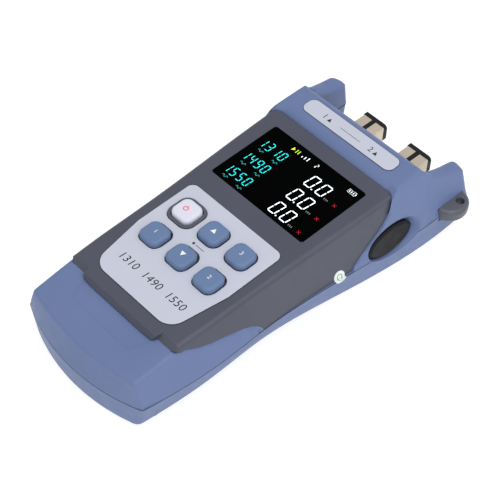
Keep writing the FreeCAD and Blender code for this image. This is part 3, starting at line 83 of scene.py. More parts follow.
def spread(tree, value, low, high):
    """Stretches the middle of a noise to run between low and high."""
    band = tree.nodes.new("ShaderNodeMapRange")
    band.inputs["From Min"].default_value = 0.3
    band.inputs["From Max"].default_value = 0.7
    band.inputs["To Min"].default_value = low
    band.inputs["To Max"].default_value = high
    link(tree, value, band.inputs["Value"])
    return band.outputs["Result"]


def two_tone(tree, value, first, second):
    """Colour that drifts between two tones as value goes from 0 to 1."""
    mix = tree.nodes.new("ShaderNodeMix")
    mix.data_type = "RGBA"
    mix.inputs["A"].default_value = (*first, 1)
    mix.inputs["B"].default_value = (*second, 1)
    link(tree, value, mix.inputs["Factor"])
    return mix.outputs["Result"]


def grained(tree, shader, scale, depth):
    """Fine surface grain: scale in waves to the metre, depth in metres."""
    bump = tree.nodes.new("ShaderNodeBump")
    bump.inputs["Strength"].default_value = 1.0
    bump.inputs["Distance"].default_value = depth
    link(tree, noise(tree, scale, 2.0), bump.inputs["Height"])
    link(tree, bump.outputs["Normal"], shader.inputs["Normal"])


DRIFT, GLOSS_PATCHES = 35, 240


def moulding(name, colour, deeper, smooth, rough, grain=2600, depth=0.000012, specular=0.4):
    """Satin moulded plastic: a slow drift of tone, uneven gloss and a fine grain."""
    material = bpy.data.materials.new(name)
    material.use_nodes = True
    tree = material.node_tree
    shader = tree.nodes["Principled BSDF"]
    tone = two_tone(tree, spread(tree, noise(tree, DRIFT), 0, 1), colour, deeper)
    link(tree, tone, shader.inputs["Base Color"])
    link(tree, spread(tree, noise(tree, GLOSS_PATCHES, 4), smooth, rough), shader.inputs["Roughness"])
    shader.inputs["Specular IOR Level"].default_value = specular
    grained(tree, shader, grain, depth)
    return material


def dress(material, *names):
    """Gives CAD pieces a material."""
    for name in names:
        mesh = nodes[name].data
        mesh.materials.clear()
        mesh.materials.append(material)


blue_shell = moulding("blue shell plastic", (0.128, 0.180, 0.350), (0.118, 0.167, 0.328), 0.46, 0.58)
dress(blue_shell, "upper_shell", "lower_shell", "battery_door")

# --- Horns --------------------------------------------------------------------------------
# The two horns that guard the ports, moulded in one with the shells. Their solids give them only
# in the rough, so the upper shell is drawn again here with thicker horn walls, lower backs, and
# rounded crests and tips.

MM = 0.001


def laid(name, mesh):
    """New piece that shows a mesh."""
    piece = bpy.data.objects.new(name, mesh)
    bpy.context.collection.objects.link(piece)
    return piece


def closed(name, rings):
    """Closed mesh through rings of equal count, in millimetres, with flat ends."""
    count = len(rings[0])
    faces = [tuple(range(count)), tuple(range(len(rings) * count - 1, (len(rings) - 1) * count - 1, -1))]
    for start in range(0, (len(rings) - 1) * count, count):
        for step in range(count):
            a, b = start + step, start + (step + 1) % count
            faces.append((a, b, b + count, a + count))
    work = bmesh.new()
    verts = [work.verts.new([part * MM for part in corner]) for ring in rings for corner in ring]
    for face in faces:
        work.faces.new([verts[i] for i in face])
    bmesh.ops.recalc_face_normals(work, faces=work.faces)
    mesh = bpy.data.meshes.new(name)
    work.to_mesh(mesh)
    work.free()
    return laid(name, mesh)


def worked(piece, tool, operation):
    """Joins or cuts a piece with a closed tool, which is then gone."""
    change = piece.modifiers.new(operation, "BOOLEAN")
    change.operation = operation
    change.solver = "EXACT"
    change.object = tool
    bpy.context.view_layer.update()
    mesh = bpy.data.meshes.new_from_object(piece.evaluated_get(bpy.context.evaluated_depsgraph_get()))
    piece.modifiers.clear()
    piece.data = mesh
    bpy.data.objects.remove(tool)


def lost(depth, radius):
    """What a rounding takes off at a depth from its edge."""
    return radius - math.sqrt(max(radius ** 2 - max(radius - depth, 0) ** 2, 0))


# In millimetres: the backs as (y, height), and the flanks below the parting line as (height,
# half width). Drafts, slants and leans are millimetres for each millimetre.
BACK_LINE = ((60, 47), (68.5, 43.5), (70, 41.0), (72, 38.9), (74, 37.0), (76, 35.9), (80, 34.5), (84, 33.2),
             (88, 32.3), (92, 31.4), (95, 30.2), (98, 28.2), (102, 24))
BACK_BLEND = 0.7
PARTING = 16.5
INNER_WALL, SLANT_FROM = 32.8, 35.8
CREST, SIDE_CREST, SIDE_TUCK = 4.0, 3.8, 0.72
TIP_ROUND, TIP_DROP, CORNER_ROUND, CORNER_BACK = 3, 3.2, 4, 3.3
TIP, FOOT_TIP, TIP_SLANT, TIP_MIDDLE = 95.7, 97.3, 0.28, 28
TIP_DRAFT, LOWER_DRAFT = 0.1655, 0.114
SLANT_START, SLANT_RUN = 76, 14
SIDE_HALF, SIDE_LEAN, THINNEST = 46.1, 0.361, 1
FLANK_HALF, FLANK_LEAN = 45.53, 0.369
# The slope behind which the shell keeps its own surface, and the feet of a horn's outline.
KEPT_FROM, KEPT_RISE = 80.5, 2.335
FOOT, FOOT_HALF = 10, 48.5
LOWER_SIDE = ((0.05, 41.5), (0.5, 42.6), (1, 43.35), (2, 44.3), (4, 45.05), (8, 45.3), (16.2, 45.55))


def back_height(y):
    """Height of a horn's back at a place along the meter, with the line's corners blended."""
    spots = []
    for near in (y + BACK_BLEND * step for step in (-2, -1, 0, 1, 2)):
        pair = next(i for i in range(len(BACK_LINE) - 1) if near <= BACK_LINE[i + 1][0])
        (y0, z0), (y1, z1) = BACK_LINE[pair], BACK_LINE[pair + 1]
        spots.append(z0 + (z1 - z0) * (near - y0) / (y1 - y0))
    return sum(spots) / len(spots)


def horn_ring(way, along):
    """Outline across one horn, from its inner foot over the back to its outer side."""
    left = TIP - along
    inner = INNER_WALL + lost(left, TIP_ROUND)
    top = back_height(along) - lost(left, TIP_DROP)
    floor = PARTING + (KEPT_FROM - along) * KEPT_RISE
    side = max(SIDE_HALF - SIDE_LEAN * (top - PARTING), inner + THINNEST)
    crest, side_crest = min(CREST, 0.5 * (side - inner)), min(SIDE_CREST, 0.6 * (side - inner))
    points = [(inner, FOOT)]
    for n in range(9):
        turn = math.radians(90 / 8 * n)
        points.append((inner + crest * (1 - math.cos(turn)), max(top - crest * (1 - math.sin(turn)), floor)))
    for n in range(9):
        turn = math.radians(70 / 8 * n)
        points.append((side - side_crest * (SIDE_TUCK - math.sin(turn)),
                       max(top - side_crest * (1 - math.cos(turn)), floor)))
    points.append((FOOT_HALF, FOOT))
    slant = min(1, max(0, (along - SLANT_START) / SLANT_RUN))
    return [(way * x, along - slant * (TIP_SLANT * (x - SLANT_FROM) + TIP_DRAFT * (z - TIP_MIDDLE)), z)
            for x, z in points]


WITHIN, FLANK_START = 36.6, 88.5


def horn_plan(way, z, tip, side, start):
    """Plan of one horn at a height: along its inner wall, round the tip and back along its flank."""
    turns = [math.radians(15 * n) for n in range(7)]
    painted_shade_edge = tip - TIP_SLANT * (side - SLANT_FROM)
    plan = [(WITHIN, start), (INNER_WALL, start)]
    plan += [(INNER_WALL + TIP_ROUND * (1 - math.cos(turn)), tip - TIP_ROUND * (1 - math.sin(turn)))
             for turn in turns]
    plan += [(side - CORNER_ROUND * (1 - math.sin(turn)), painted_shade_edge - CORNER_BACK + CORNER_ROUND * math.cos(turn))
             for turn in turns[1:]]
    plan += [(side, FLANK_START), (WITHIN, FLANK_START)]
    return [(way * x, y, z) for x, y in plan]


SHARP = math.radians(32)
FULLER_START, FULLER_RISE, LOWER_START = 70, 19.5, 80.4
# The space round a horn that is cut back to its form.
ROOM_HALF, ROOM_ALONG, ROOM_HEIGHT = (32.6, 60), (67, 110), (16.3, 60)
soft_shell = nodes["upper_shell"].copy()
soft_shell.data = nodes["upper_shell"].data.copy()
soft_shell.name = "upper_shell_form"
bpy.context.collection.objects.link(soft_shell)
# Every millimetre along a horn, and closer where its tip rounds off.
stations = [66 + n for n in range(26)] + [91.5 + 0.5 * n for n in range(7)]
stations += [TIP - back for back in (0.8, 0.55, 0.35, 0.2, 0.1, 0.03, 0)]
for way, side_name in ((1, "right"), (-1, "left")):
    fuller = closed("fuller_horn", [
        horn_plan(way, PARTING + rise, FOOT_TIP - TIP_DRAFT * rise, FLANK_HALF - FLANK_LEAN * rise,
                  FULLER_START)
        for rise in (0, FULLER_RISE)])
    worked(soft_shell, fuller, "UNION")
    inner, outer = sorted(way * half for half in ROOM_HALF)
    near, far = ROOM_ALONG
    corners = ((inner, near), (outer, near), (outer, far), (inner, far))
    room = closed("room_round_the_horn", [[(x, y, z) for x, y in corners] for z in ROOM_HEIGHT])
    worked(room, closed("horn", [horn_ring(way, along) for along in stations]), "DIFFERENCE")
    worked(soft_shell, room, "DIFFERENCE")
    wall = closed(f"lower_horn_wall_{side_name}", [
        horn_plan(way, z, FOOT_TIP - LOWER_DRAFT * (PARTING - z), side, LOWER_START)
        for z, side in LOWER_SIDE])
    wall.data.shade_smooth()
    wall.data.set_sharp_from_angle(angle=SHARP)
    wall.data.materials.append(blue_shell)
    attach(wall, "housing")
soft_shell.data.set_sharp_from_angle(angle=SHARP)
even = soft_shell.modifiers.new("even_shading", "WEIGHTED_NORMAL")
even.keep_sharp = True
even.weight = 80
bpy.context.view_layer.update()
shaded = bpy.data.meshes.new_from_object(soft_shell.evaluated_get(bpy.context.evaluated_depsgraph_get()))
soft_shell.modifiers.clear()
soft_shell.data = shaded
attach(soft_shell, "housing")
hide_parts("upper_shell")

# --- Seam ---------------------------------------------------------------------------------
# The fine groove moulded into the rims of the two shells, with its shadow painted in: a thin
# dark band of painted shade laid into it, and one round each horn.

# Painted shade: a dark blue that stands in for the shadow gathered in the groove.
seam_painted_shade = moulding("seam shadow", (0.022, 0.03, 0.058), (0.03, 0.04, 0.07), 0.7, 0.85)
# The shells' groove is in metres, like their meshes, and the bands round the horns in millimetres.
GROOVE_LOW, GROOVE_MIDDLE, GROOVE_HIGH = 0.01615, 0.01633, 0.01652
GROOVE_DEPTH, SHADOW_WIDTH = 0.00032, 1.5
BAND_HEIGHTS, BAND_HALF, BAND_START = (16.1, 16.6), 45.6, 72
BAND_WIDER, BAND_LONGER = 1.014, 1.006
work = bmesh.new()
work.from_mesh(nodes["lower_shell"].data)
beside = [side for side in work.faces if abs(side.normal.z) > 0.3
          or not all(GROOVE_LOW < corner.co.z < GROOVE_HIGH for corner in side.verts)]
bmesh.ops.delete(work, geom=beside, context="FACES")
for corner in work.verts:
    outward = Vector((corner.normal.x, corner.normal.y, 0))
    corner.co += outward.normalized() * GROOVE_DEPTH if outward.length > 0.1 else outward
    corner.co.x, corner.co.y = (min(max(corner.co[i], cad_box[0][i]), cad_box[1][i]) for i in (0, 1))
    corner.co.z = GROOVE_MIDDLE + (corner.co.z - GROOVE_MIDDLE) * SHADOW_WIDTH
seam_mesh = bpy.data.meshes.new("seam_shadow")
work.to_mesh(seam_mesh)
work.free()
seam_mesh.materials.append(seam_painted_shade)
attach(laid("seam_shadow", seam_mesh), "housing")
for way, side_name in ((1, "right"), (-1, "left")):
    rings = []
    for z in BAND_HEIGHTS:
        plan = horn_plan(way, z, FOOT_TIP, BAND_HALF, BAND_START)
        middle_x, middle_y = (sum(corner[i] for corner in plan) / len(plan) for i in (0, 1))
        rings.append([(middle_x + (x - middle_x) * BAND_WIDER, middle_y + (y - middle_y) * BAND_LONGER, z)
                      for x, y, z in plan])
    band = closed(f"horn_seam_shadow_{side_name}", rings)
    band.data.materials.append(seam_painted_shade)
    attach(band, "housing")

# --- Front bezel -------------------------------------------------------------------------
# One dark grey moulding over the front, wrapped down both sides to the parting line; a
# matt coating gives it a soft, slightly warm sheen along the edges.

bezel_coating = moulding("bezel coating", (0.070, 0.075, 0.107), (0.063, 0.068, 0.097), 0.38, 0.5,
                         3200, 0.00001)
dress(bezel_coating, "front_bezel")

# --- Display -------------------------------------------------------------------------------
# Black acrylic window, glued flush into the bezel, over a backlit segment display: its lit
# segments show through as white, cyan, yellow-green and red marks.

window_acrylic = moulding("window acrylic", (0.0006, 0.0008, 0.0007), (0.001, 0.0012, 0.0011), 0.16, 0.22,
                          900, 0.000001, 0.01)
dress(window_acrylic, "display_window")

WINDOW_HEIGHT, WINDOW_THICK = 0.0392, 0.0014
low, high = (Vector(corner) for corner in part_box("display_window"))
press = next(joint for joint in frame["joints"] if joint["name"] == "power_key_press")
tilt = math.atan2(-press["axis"][1], press["axis"][2])
face_start = Vector((0, high.y - WINDOW_HEIGHT * math.cos(tilt) - WINDOW_THICK * math.sin(tilt),
                     high.z - WINDOW_HEIGHT * math.sin(tilt)))
on_face = Matrix.Translation(face_start) @ Matrix.Rotation(tilt, 4, "X")


def printed(name, shapes, height, material, body="housing"):
    """Flat marks on the front: polygons of (x, y) in millimetres at one height above the face."""
    work = bmesh.new()
    for shape in shapes:
        rim = [work.verts.new(on_face @ Vector((x * MM, y * MM, height * MM))) for x, y in shape]
        work.faces.new(rim)
    bmesh.ops.triangulate(work, faces=work.faces)
    work.normal_update()
    for side in work.faces:
        if side.normal.z < 0:
            side.normal_flip()
    mesh = bpy.data.meshes.new(name)
    work.to_mesh(mesh)
    work.free()
    mesh.materials.append(material)
    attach(laid(name, mesh), body)


DIMMER, DIFFUSER_PATCHES = 0.82, 700


def lit(name, colour):
    """A lit segment, a little uneven as the diffuser behind it is."""
    material = bpy.data.materials.new(name)
    material.use_nodes = True
    tree = material.node_tree
    shader = tree.nodes["Principled BSDF"]
    shader.inputs["Base Color"].default_value = (*colour, 1)
    shader.inputs["Roughness"].default_value = 0.4
    dimmed = tuple(part * DIMMER for part in colour)
    glow = two_tone(tree, spread(tree, noise(tree, DIFFUSER_PATCHES), 0, 1), colour, dimmed)
    link(tree, glow, shader.inputs["Emission Color"])
    shader.inputs["Emission Strength"].default_value = 1.0
    return material


SEGMENTS = {"0": "abcdef", "1": "bc", "2": "abged", "3": "abgcd", "4": "fgbc", "5": "afgcd", "6": "afgedc",
            "7": "abc", "8": "abcdefg", "9": "abcdfg"}
SEGMENT_GAP = 0.18


def segment(x0, y0, x1, y1, half, gap):
    """One bar with pointed ends between two corners."""
    along = Vector((x1 - x0, y1 - y0)).normalized()
    across = Vector((-along.y, along.x)) * half
    start, end = Vector((x0, y0)) + along * gap, Vector((x1, y1)) - along * gap
    a, b = start + along * half, end - along * half
    return [tuple(p) for p in (start, a + across, b + across, end, b - across, a - across)]


def digit(character, right, base, width, tall, stroke, slant):
    """Leaning seven-segment figure whose lower right corner is at (right, base)."""
    half = stroke / 2

    def corner(column, line):
        y = base + half + line * (tall - stroke) / 2
        return right - half - (1 - column) * (width - stroke) + slant * (y - base), y

    ends = {"a": ((0, 2), (1, 2)), "b": ((1, 2), (1, 1)), "c": ((1, 1), (1, 0)), "d": ((0, 0), (1, 0)),
            "e": ((0, 1), (0, 0)), "f": ((0, 2), (0, 1)), "g": ((0, 1), (1, 1))}
    return [segment(*corner(*ends[s][0]), *corner(*ends[s][1]), half, SEGMENT_GAP)
            for s in SEGMENTS[character]]


def disc(x, y, radius, count=16):
    """Round dot."""
    return [(x + radius * math.cos(2 * math.pi * i / count), y + radius * math.sin(2 * math.pi * i / count))
            for i in range(count)]


def bar(x0, y0, x1, y1):
    """Straight mark between two opposite corners."""
    return [(x0, y0), (x1, y0), (x1, y1), (x0, y1)]


def thin_frame(x0, y0, x1, y1, line):
    """Four thin marks round a rectangle."""
    return [bar(x0, y0, x1, y0 + line), bar(x0, y1 - line, x1, y1), bar(x0, y0, x0 + line, y1),
            bar(x1 - line, y0, x1, y1)]


white_light = lit("white segments", (0.86, 0.95, 1.0))
cyan_light = lit("cyan segments", (0.01, 0.72, 0.72))
teal_light = lit("dim teal segments", (0.01, 0.25, 0.25))
lime_light = lit("yellow-green segments", (0.42, 0.68, 0.01))
red_light = lit("red segments", (0.55, 0.0, 0.02))
grey_light = lit("grey segments", (0.16, 0.17, 0.18))
# In millimetres from the middle of the window's lower edge, with GLOW the marks' height above it.
# A figure is its width, height, stroke and lean.
GLOW = 0.012
ROW_BASES = (2.3, 13.0, 23.6)
READING_FIGURE, CHANNEL_FIGURE = (4.2, 7.5, 0.52, 0.13), (1.3, 2.5, 0.32, 0.13)
WAVELENGTH_FIGURE, WAVELENGTH_LEFT, WAVELENGTH_PITCH = (2.5, 5.4, 0.36, 0.08), -23.3, 4.0
POINT_X, POINT_UP, POINT_RADIUS = 9.65, 0.35, 0.36
BAR_LEFT, BAR_PITCH, BAR_WIDTH, BAR_FOOT = -6.9, 1.6, 0.4, 34.0
WAVE_STEP, WAVE_TURN, WAVE_TALL, WAVE_HALF, WAVE_OVERLAP = 0.25, 0.785, 0.55, 0.14, 0.1
CROSS_X, CROSS_UP, CROSS_HALF, CROSS_LINE = 22.9, 0.9, 0.8, 0.07

readings = []
for base in ROW_BASES:
    for right in (8.6, 15.4):
        readings += digit("0", right, base, *READING_FIGURE)
    readings.append(disc(POINT_X, base + POINT_UP, POINT_RADIUS))
readings += digit("2", 2.3, 33.9, *CHANNEL_FIGURE)
for n in range(3):
    bar_x = BAR_LEFT + BAR_PITCH * n
    readings.append(bar(bar_x, BAR_FOOT, bar_x + BAR_WIDTH, BAR_FOOT + 0.9 + 0.7 * n))
battery = thin_frame(20.8, 34.3, 24.9, 36.42, 0.12) + [bar(25.0, 34.9, 25.3, 35.8)]
battery += [bar(21.4 + 1.1 * n, 34.8, 21.75 + 1.1 * n, 35.9) for n in range(3)]
printed("lit_readings", readings + battery, GLOW, white_light)

wavelengths = []
for base, figures in zip(ROW_BASES, ("1550", "1490", "1310")):
    for place, figure in enumerate(figures):
        wavelengths += digit(figure, WAVELENGTH_LEFT + WAVELENGTH_PITCH * place, base + 1.9,
                             *WAVELENGTH_FIGURE)
printed("lit_wavelengths", wavelengths, GLOW, cyan_light)

waves = []
for base in ROW_BASES:
    for start, rise in ((-23.2, 0.35), (-14.2, 0.0)):
        line = [(start + WAVE_STEP * n, base - 0.3 + rise + WAVE_TALL * math.sin(WAVE_TURN * n))
                for n in range(13)]
        waves += [segment(*a, *b, WAVE_HALF, -WAVE_OVERLAP) for a, b in zip(line, line[1:])]
printed("lit_wave_marks", waves, GLOW, teal_light)

printed("lit_set_mark", [[(-13.2, 33.9), (-11.6, 35.1), (-12.9, 36.3)], bar(-10.7, 34.0, -10.3, 36.2),
                         bar(-9.4, 34.0, -9.0, 36.2)], GLOW, lime_light)

crosses, units = [], []
for base in ROW_BASES:
    left, right = CROSS_X - CROSS_HALF, CROSS_X + CROSS_HALF
    foot, head = base + CROSS_UP - CROSS_HALF, base + CROSS_UP + CROSS_HALF
    crosses += [segment(left, foot, right, head, CROSS_LINE, 0),
                segment(left, head, right, foot, CROSS_LINE, 0)]
    units += [bar(16.9 + 0.9 * n, base + 0.2, 17.2 + 0.9 * n, base + 1.1) for n in range(3)]
printed("lit_crosses", crosses, GLOW, red_light)
printed("lit_unit_marks", units, GLOW, grey_light)

WINDOW_ROUND = 1.4
rounds = []
for x, turn_x in ((low.x / MM, 1), (high.x / MM, -1)):
    for y, turn_y in ((0, 1), (WINDOW_HEIGHT / MM, -1)):
        rounds.append([(x, y)] + [(x + turn_x * WINDOW_ROUND * (1 - math.sin(math.radians(15 * n))),
                                   y + turn_y * WINDOW_ROUND * (1 - math.cos(math.radians(15 * n))))
                                  for n in range(7)])
printed("window_corner_rounds", rounds, 0.02, bezel_coating)

module_glass = moulding("display glass", (0.012, 0.013, 0.014), (0.02, 0.02, 0.022), 0.1, 0.16,
                        800, 0.000001)
dress(module_glass, "display_module")
gasket_foam = moulding("gasket foam", (0.02, 0.02, 0.021), (0.035, 0.035, 0.036), 0.85, 0.95,
                       1500, 0.00008)
dress(gasket_foam, "display_gasket")

# --- Labels ---------------------------------------------------------------------------------
# Silver-grey polyester overlays, screen printed in dark ink and stuck into the front: one
# under the keys and a narrow one on the head, with plain numbers only.

label_film = moulding("label film", (0.535, 0.555, 0.655), (0.52, 0.54, 0.64), 0.4, 0.5, 5200, 0.000004)
dress(label_film, "keypad_label", "head_label")
# Dark ink for the labels' print, also used as painted shade round the labels' edges and in the gaps round
# the keys.
label_ink_and_painted_shade = moulding("label ink and painted shade", (0.012, 0.012, 0.016), (0.02, 0.02, 0.025), 0.4, 0.5, 5200, 0.000003)
# The heights above the window's face of the labels' marks, ink and painted shade, and the marks' places, in
# millimetres.
LABEL_MARKS, HEAD_INK = 0.312, 2.512
PORT_X, MARK_APART, ARROW_HALF = 13.9, 1.6, 1.1
TALL_TO_SIZE = 1.37


def numbers(name, words, x, y, tall, height, material, body="housing", lean=0.0, spacing=1.0):
    """Plain printed numbers centred at (x, y) on the front."""
    text = bpy.data.curves.new(name, "FONT")
    text.body = words
    text.size = tall * MM * TALL_TO_SIZE
    text.align_x = "CENTER"
    text.align_y = "CENTER"
    text.shear = lean
    text.space_character = spacing
    text.resolution_u = 4
    holder = bpy.data.objects.new(name, text)
    bpy.context.collection.objects.link(holder)
    bpy.context.view_layer.update()
    mesh = bpy.data.meshes.new_from_object(holder.evaluated_get(bpy.context.evaluated_depsgraph_get()))
    bpy.data.objects.remove(holder)
    mesh.transform(on_face @ Matrix.Translation((x * MM, y * MM, height * MM)))
    mesh.name = name
    mesh.materials.clear()
    mesh.materials.append(material)
    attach(laid(name, mesh), body)


numbers("keypad_label_numbers", "1310  1490  1550", 0.4, -58.4, 3.9, LABEL_MARKS, label_ink_and_painted_shade, lean=0.1,
        spacing=1.05)
for port, x in (("1", -PORT_X), ("2", PORT_X)):
    numbers(f"head_label_number_{port}", port, x - MARK_APART, 57.6, 3.1, HEAD_INK, label_ink_and_painted_shade)
arrows = [[(x - ARROW_HALF, 56.3), (x + ARROW_HALF, 56.3), (x, 58.5)]
          for x in (MARK_APART - PORT_X, MARK_APART + PORT_X)]
printed("head_label_arrows", arrows + [bar(-6, 57.3, 6, 57.55)], HEAD_INK, label_ink_and_painted_shade)

# A dark copy of each label, a little larger and set just below it, showing as a hair line round it: painted
# shade at the labels' edges.
EDGE_OUT, EDGE_DROP = 0.16, 0.05
for name in ("keypad_label", "head_label"):
    edge_shade_mesh = nodes[name].data.copy()
    lowest, highest = (Vector(corner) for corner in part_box(name))
    middle, half = (lowest + highest) / 2, (highest - lowest) / 2
    stretch = Vector((1 + EDGE_OUT * MM / half.x, 1 + EDGE_OUT * MM / half.y, 1))
    for vertex in edge_shade_mesh.vertices:
        vertex.co = middle + (vertex.co - middle) * stretch - Vector((0, 0, EDGE_DROP * MM))
    edge_shade_mesh.materials.clear()
    edge_shade_mesh.materials.append(label_ink_and_painted_shade)
    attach(laid(f"{name}_edge", edge_shade_mesh), "housing")

printed("keypad_label_mark", [disc(-2.6, -32.8, 0.65), bar(-1.2, -32.95, 3.6, -32.65)], LABEL_MARKS, label_ink_and_painted_shade)

# --- Keys -----------------------------------------------------------------------------------
# Soft-touch caps moulded in two colours, each on a plunger over its switch; the power key
# stands in a dark ring. Plain white or red symbols are pad printed on top.

KEY_PITCH, UPPER_ROW, LOWER_ROW = 16.6, -23.9, -41.4
KEY_HALF, KEY_CORNER, KEY_GAP = 5.72, 3.6, 0.6
key_plastic = moulding("blue key plastic", (0.125, 0.195, 0.355), (0.117, 0.184, 0.336), 0.48, 0.6,
                       3600, 0.000008)
dress(key_plastic, "up_key", "upper_right_key", "lower_left_key", "down_key", "lower_right_key")
power_plastic = moulding("pale key plastic", (0.70, 0.70, 0.82), (0.67, 0.67, 0.79), 0.42, 0.54,
                         3600, 0.000006)
dress(power_plastic, "power_key")
ring_plastic = moulding("key ring plastic", (0.085, 0.09, 0.12), (0.075, 0.08, 0.105), 0.4, 0.5)
dress(ring_plastic, "power_key_ring")
symbol_white = moulding("white symbol ink", (0.86, 0.88, 0.93), (0.8, 0.82, 0.88), 0.45, 0.55,
                        4000, 0.000003)
symbol_red = moulding("red symbol ink", (0.85, 0.005, 0.01), (0.76, 0.005, 0.01), 0.45, 0.55,
                      4000, 0.000003)
KEY_TOP = 3.012


def soft_square(x, y, half, corner, count=7):
    """Square with rounded corners, as points."""
    points = []
    for across, up, start in ((1, 1, 0), (-1, 1, 90), (-1, -1, 180), (1, -1, 270)):
        for n in range(count):
            turn = math.radians(start + 90 * n / (count - 1))
            points.append((x + across * (half - corner) + corner * math.cos(turn),
                           y + up * (half - corner) + corner * math.sin(turn)))
    return points


# Painted shade: a thin dark ring on the keypad label round each key, standing in for the shadow in the gap
# between key and label.
gaps = []
for x, y in ((0, UPPER_ROW), (KEY_PITCH, UPPER_ROW), (-KEY_PITCH, LOWER_ROW), (0, LOWER_ROW),
             (KEY_PITCH, LOWER_ROW)):
    inside = soft_square(x, y, KEY_HALF, KEY_CORNER)
    outside = soft_square(x, y, KEY_HALF + KEY_GAP, KEY_CORNER + KEY_GAP)
    gaps += [(inside[n - 1], outside[n - 1], outside[n], inside[n]) for n in range(len(inside))]
printed("key_gap_painted_shade", gaps, LABEL_MARKS, label_ink_and_painted_shade)

POWER_X, SYMBOL_OUT, SYMBOL_IN, SYMBOL_OPENING, SYMBOL_STEPS = -17.3, 1.25, 0.88, 24, 40
SYMBOL_TURN = (360 - 2 * SYMBOL_OPENING) / SYMBOL_STEPS
KEY_ARROW_HALF, SYMBOL_LINE_HALF = 1.3, 0.18
rim = []
for n in range(SYMBOL_STEPS):
    a, b = (math.radians(90 + SYMBOL_OPENING + SYMBOL_TURN * (n + step)) for step in (0, 1))
    rim.append([(POWER_X + r * math.cos(t), UPPER_ROW + r * math.sin(t)) for t, r in
                ((a, SYMBOL_OUT), (b, SYMBOL_OUT), (b, SYMBOL_IN), (a, SYMBOL_IN))])
rim.append(bar(POWER_X - SYMBOL_LINE_HALF, UPPER_ROW + 0.2, POWER_X + SYMBOL_LINE_HALF, UPPER_ROW + 1.8))
printed("power_symbol", rim, KEY_TOP, symbol_red, "power_key")
for symbol, way, y in (("up", 1, UPPER_ROW - 0.7), ("down", -1, LOWER_ROW + 1.2)):
    arrow = [(-KEY_ARROW_HALF, y), (KEY_ARROW_HALF, y), (0, y + 2.3 * way)]
    printed(f"{symbol}_symbol", [arrow], KEY_TOP, symbol_white, f"{symbol}_key")
for body, words, x, y in (("upper_right_key", "3", KEY_PITCH, UPPER_ROW + 0.4),
                          ("lower_left_key", "1", -KEY_PITCH, LOWER_ROW),
                          ("lower_right_key", "2", KEY_PITCH, LOWER_ROW)):
    numbers(f"{body}_number", words, x, y, 2.1, KEY_TOP, symbol_white, body)
plunger_plastic = moulding("plunger plastic", (0.03, 0.03, 0.032), (0.04, 0.04, 0.042), 0.4, 0.5)
dress(plunger_plastic, *[name for name in nodes if name.endswith("_plunger")])

# --- Fibre ports ----------------------------------------------------------------------------
# Square adapters die cast and nickel plated, with a zirconia sleeve and a detector behind;
# black rubber dust caps plug them.

nickel = moulding("nickel plate", (0.70, 0.61, 0.50), (0.62, 0.53, 0.43), 0.28, 0.4, 1800, 0.000004)
nickel.node_tree.nodes["Principled BSDF"].inputs["Metallic"].default_value = 0.55
dress(nickel, "adapter_left", "adapter_right", "detector_left", "detector_right")
cap_rubber = moulding("dust cap rubber", (0.004, 0.005, 0.008), (0.006, 0.007, 0.010), 0.5, 0.62,
                      2400, 0.00001, 0.3)
dress(cap_rubber, "dust_cap_left", "dust_cap_right")
zirconia = moulding("zirconia", (0.82, 0.8, 0.76), (0.78, 0.76, 0.72), 0.2, 0.28)
dress(zirconia, "alignment_sleeve_left", "alignment_sleeve_right")

# --- Side cover, strap lug and sticker --------------------------------------------------------
# Soft rubber bung over the sockets, a dark glass-filled lug clamped between the shells, and a
# small paper inspection sticker across the parting line.

cover_rubber = moulding("cover rubber", (0.006, 0.0065, 0.010), (0.005, 0.005, 0.008), 0.5, 0.64,
                        2600, 0.000012, 0.25)
dress(cover_rubber, "port_cover")
lug_plastic = moulding("lug plastic", (0.095, 0.102, 0.128), (0.085, 0.092, 0.115), 0.3, 0.42, 1800, 0.00001)
dress(lug_plastic, "strap_lug")
sticker_paper = moulding("sticker paper", (0.8, 0.83, 0.82), (0.75, 0.79, 0.77), 0.3, 0.4, 4000, 0.000003)
dress(sticker_paper, "inspection_sticker")
green_ink = moulding("green ink", (0.03, 0.30, 0.14), (0.04, 0.36, 0.17), 0.35, 0.45, 4000, 0.000002)
RING_IN, RING_OUT, INK_LIFT, BESIDE = 1.15, 1.5, 0.00002, Vector((0.05, 0, 0))
work = bmesh.new()
low, high = (Vector(corner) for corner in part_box("inspection_sticker"))
for turn in range(24):
    ring = []
    for radius, step in ((RING_IN, turn), (RING_OUT, turn), (RING_OUT, turn + 1), (RING_IN, turn + 1)):
        angle = math.radians(15 * step)
        spot = (low + high) / 2 + Vector((0, radius * math.cos(angle), radius * math.sin(angle))) * MM
        _, place, normal, _ = nodes["inspection_sticker"].ray_cast(spot + BESIDE, Vector((-1, 0, 0)))
        ring.append(work.verts.new(place + normal * INK_LIFT))
    work.faces.new(ring)
mark_mesh = bpy.data.meshes.new("sticker_ring")
work.to_mesh(mark_mesh)
work.free()
mark_mesh.materials.append(green_ink)
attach(laid("sticker_ring", mark_mesh), "housing")

# --- Inside ------------------------------------------------------------------------------------
# Glass-fibre board screwed to the shell with its switches and sockets, and three cells
# between plated contacts and springs.

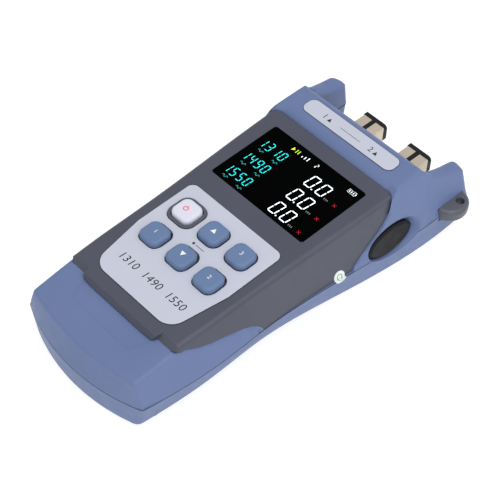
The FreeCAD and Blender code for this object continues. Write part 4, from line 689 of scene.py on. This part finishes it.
laminate = moulding("board laminate", (0.012, 0.12, 0.05), (0.009, 0.1, 0.04), 0.3, 0.42)
dress(laminate, "main_board")
black_nylon = moulding("black nylon", (0.02, 0.02, 0.021), (0.026, 0.026, 0.028), 0.4, 0.5)
dress(black_nylon, "key_switches", "charge_socket")
zinc = moulding("zinc plate", (0.62, 0.62, 0.61), (0.52, 0.52, 0.52), 0.28, 0.42, 1500, 0.000005)
zinc.node_tree.nodes["Principled BSDF"].inputs["Metallic"].default_value = 1.0
dress(zinc, "board_screws", "shell_screws", "battery_door_screw", "data_socket", "battery_contacts",
      "contact_springs")
cell_sleeve = moulding("cell sleeve", (0.04, 0.05, 0.07), (0.06, 0.07, 0.09), 0.2, 0.3)
dress(cell_sleeve, "battery_cells")

# --- Studio -------------------------------------------------------------------------------------
# White light table, an even surround, three large soft lamps, and a small one that catches the
# bezel's edge.

bpy.ops.mesh.primitive_plane_add(size=6)
floor = bpy.context.object
floor.name = "studio_floor"
floor_paint = moulding("floor paint", (0.42, 0.42, 0.42), (0.4, 0.4, 0.4), 0.8, 0.9)
floor_glow = floor_paint.node_tree.nodes["Principled BSDF"]
floor_glow.inputs["Emission Color"].default_value = (1, 1, 1, 1)
floor_glow.inputs["Emission Strength"].default_value = 0.75
floor.data.materials.append(floor_paint)


def lamp(name, place, size, power, colour=(1, 1, 1)):
    """Soft round lamp that faces the meter."""
    data = bpy.data.lights.new(name, "AREA")
    data.shape = "DISK"
    data.size = size
    data.energy = power
    data.color = colour
    holder = bpy.data.objects.new(name, data)
    holder.location = place
    holder.rotation_euler = (-Vector(place)).to_track_quat("-Z", "Y").to_euler()
    bpy.context.collection.objects.link(holder)


lamp("key_lamp", (0.3, 0.0, 1.3), 1.2, 8.5)
lamp("fill_lamp", (1.2, -0.4, 0.7), 1.2, 3)
lamp("front_lamp", (-0.3, -1.1, 0.9), 1.0, 1.5)
lamp("edge_lamp", (0.78, 0.62, 0.95), 0.3, 1.0, (1.0, 0.95, 0.88))
world = bpy.data.worlds.new("studio")
bpy.context.scene.world = world
world.use_nodes = True
world.node_tree.nodes["Background"].inputs["Color"].default_value = (1, 1, 1, 1)
world.node_tree.nodes["Background"].inputs["Strength"].default_value = 0.55
bpy.context.scene.view_settings.view_transform = "Standard"

camera = bpy.data.objects.new("camera", bpy.data.cameras.new("camera"))
camera.data.lens = 100.8
camera.location = (0.28209, -0.28221, 0.47689)
camera.rotation_euler = tuple(math.radians(angle) for angle in (40.6086, -1.6452, 46.7199))
bpy.context.collection.objects.link(camera)
bpy.context.scene.camera = camera
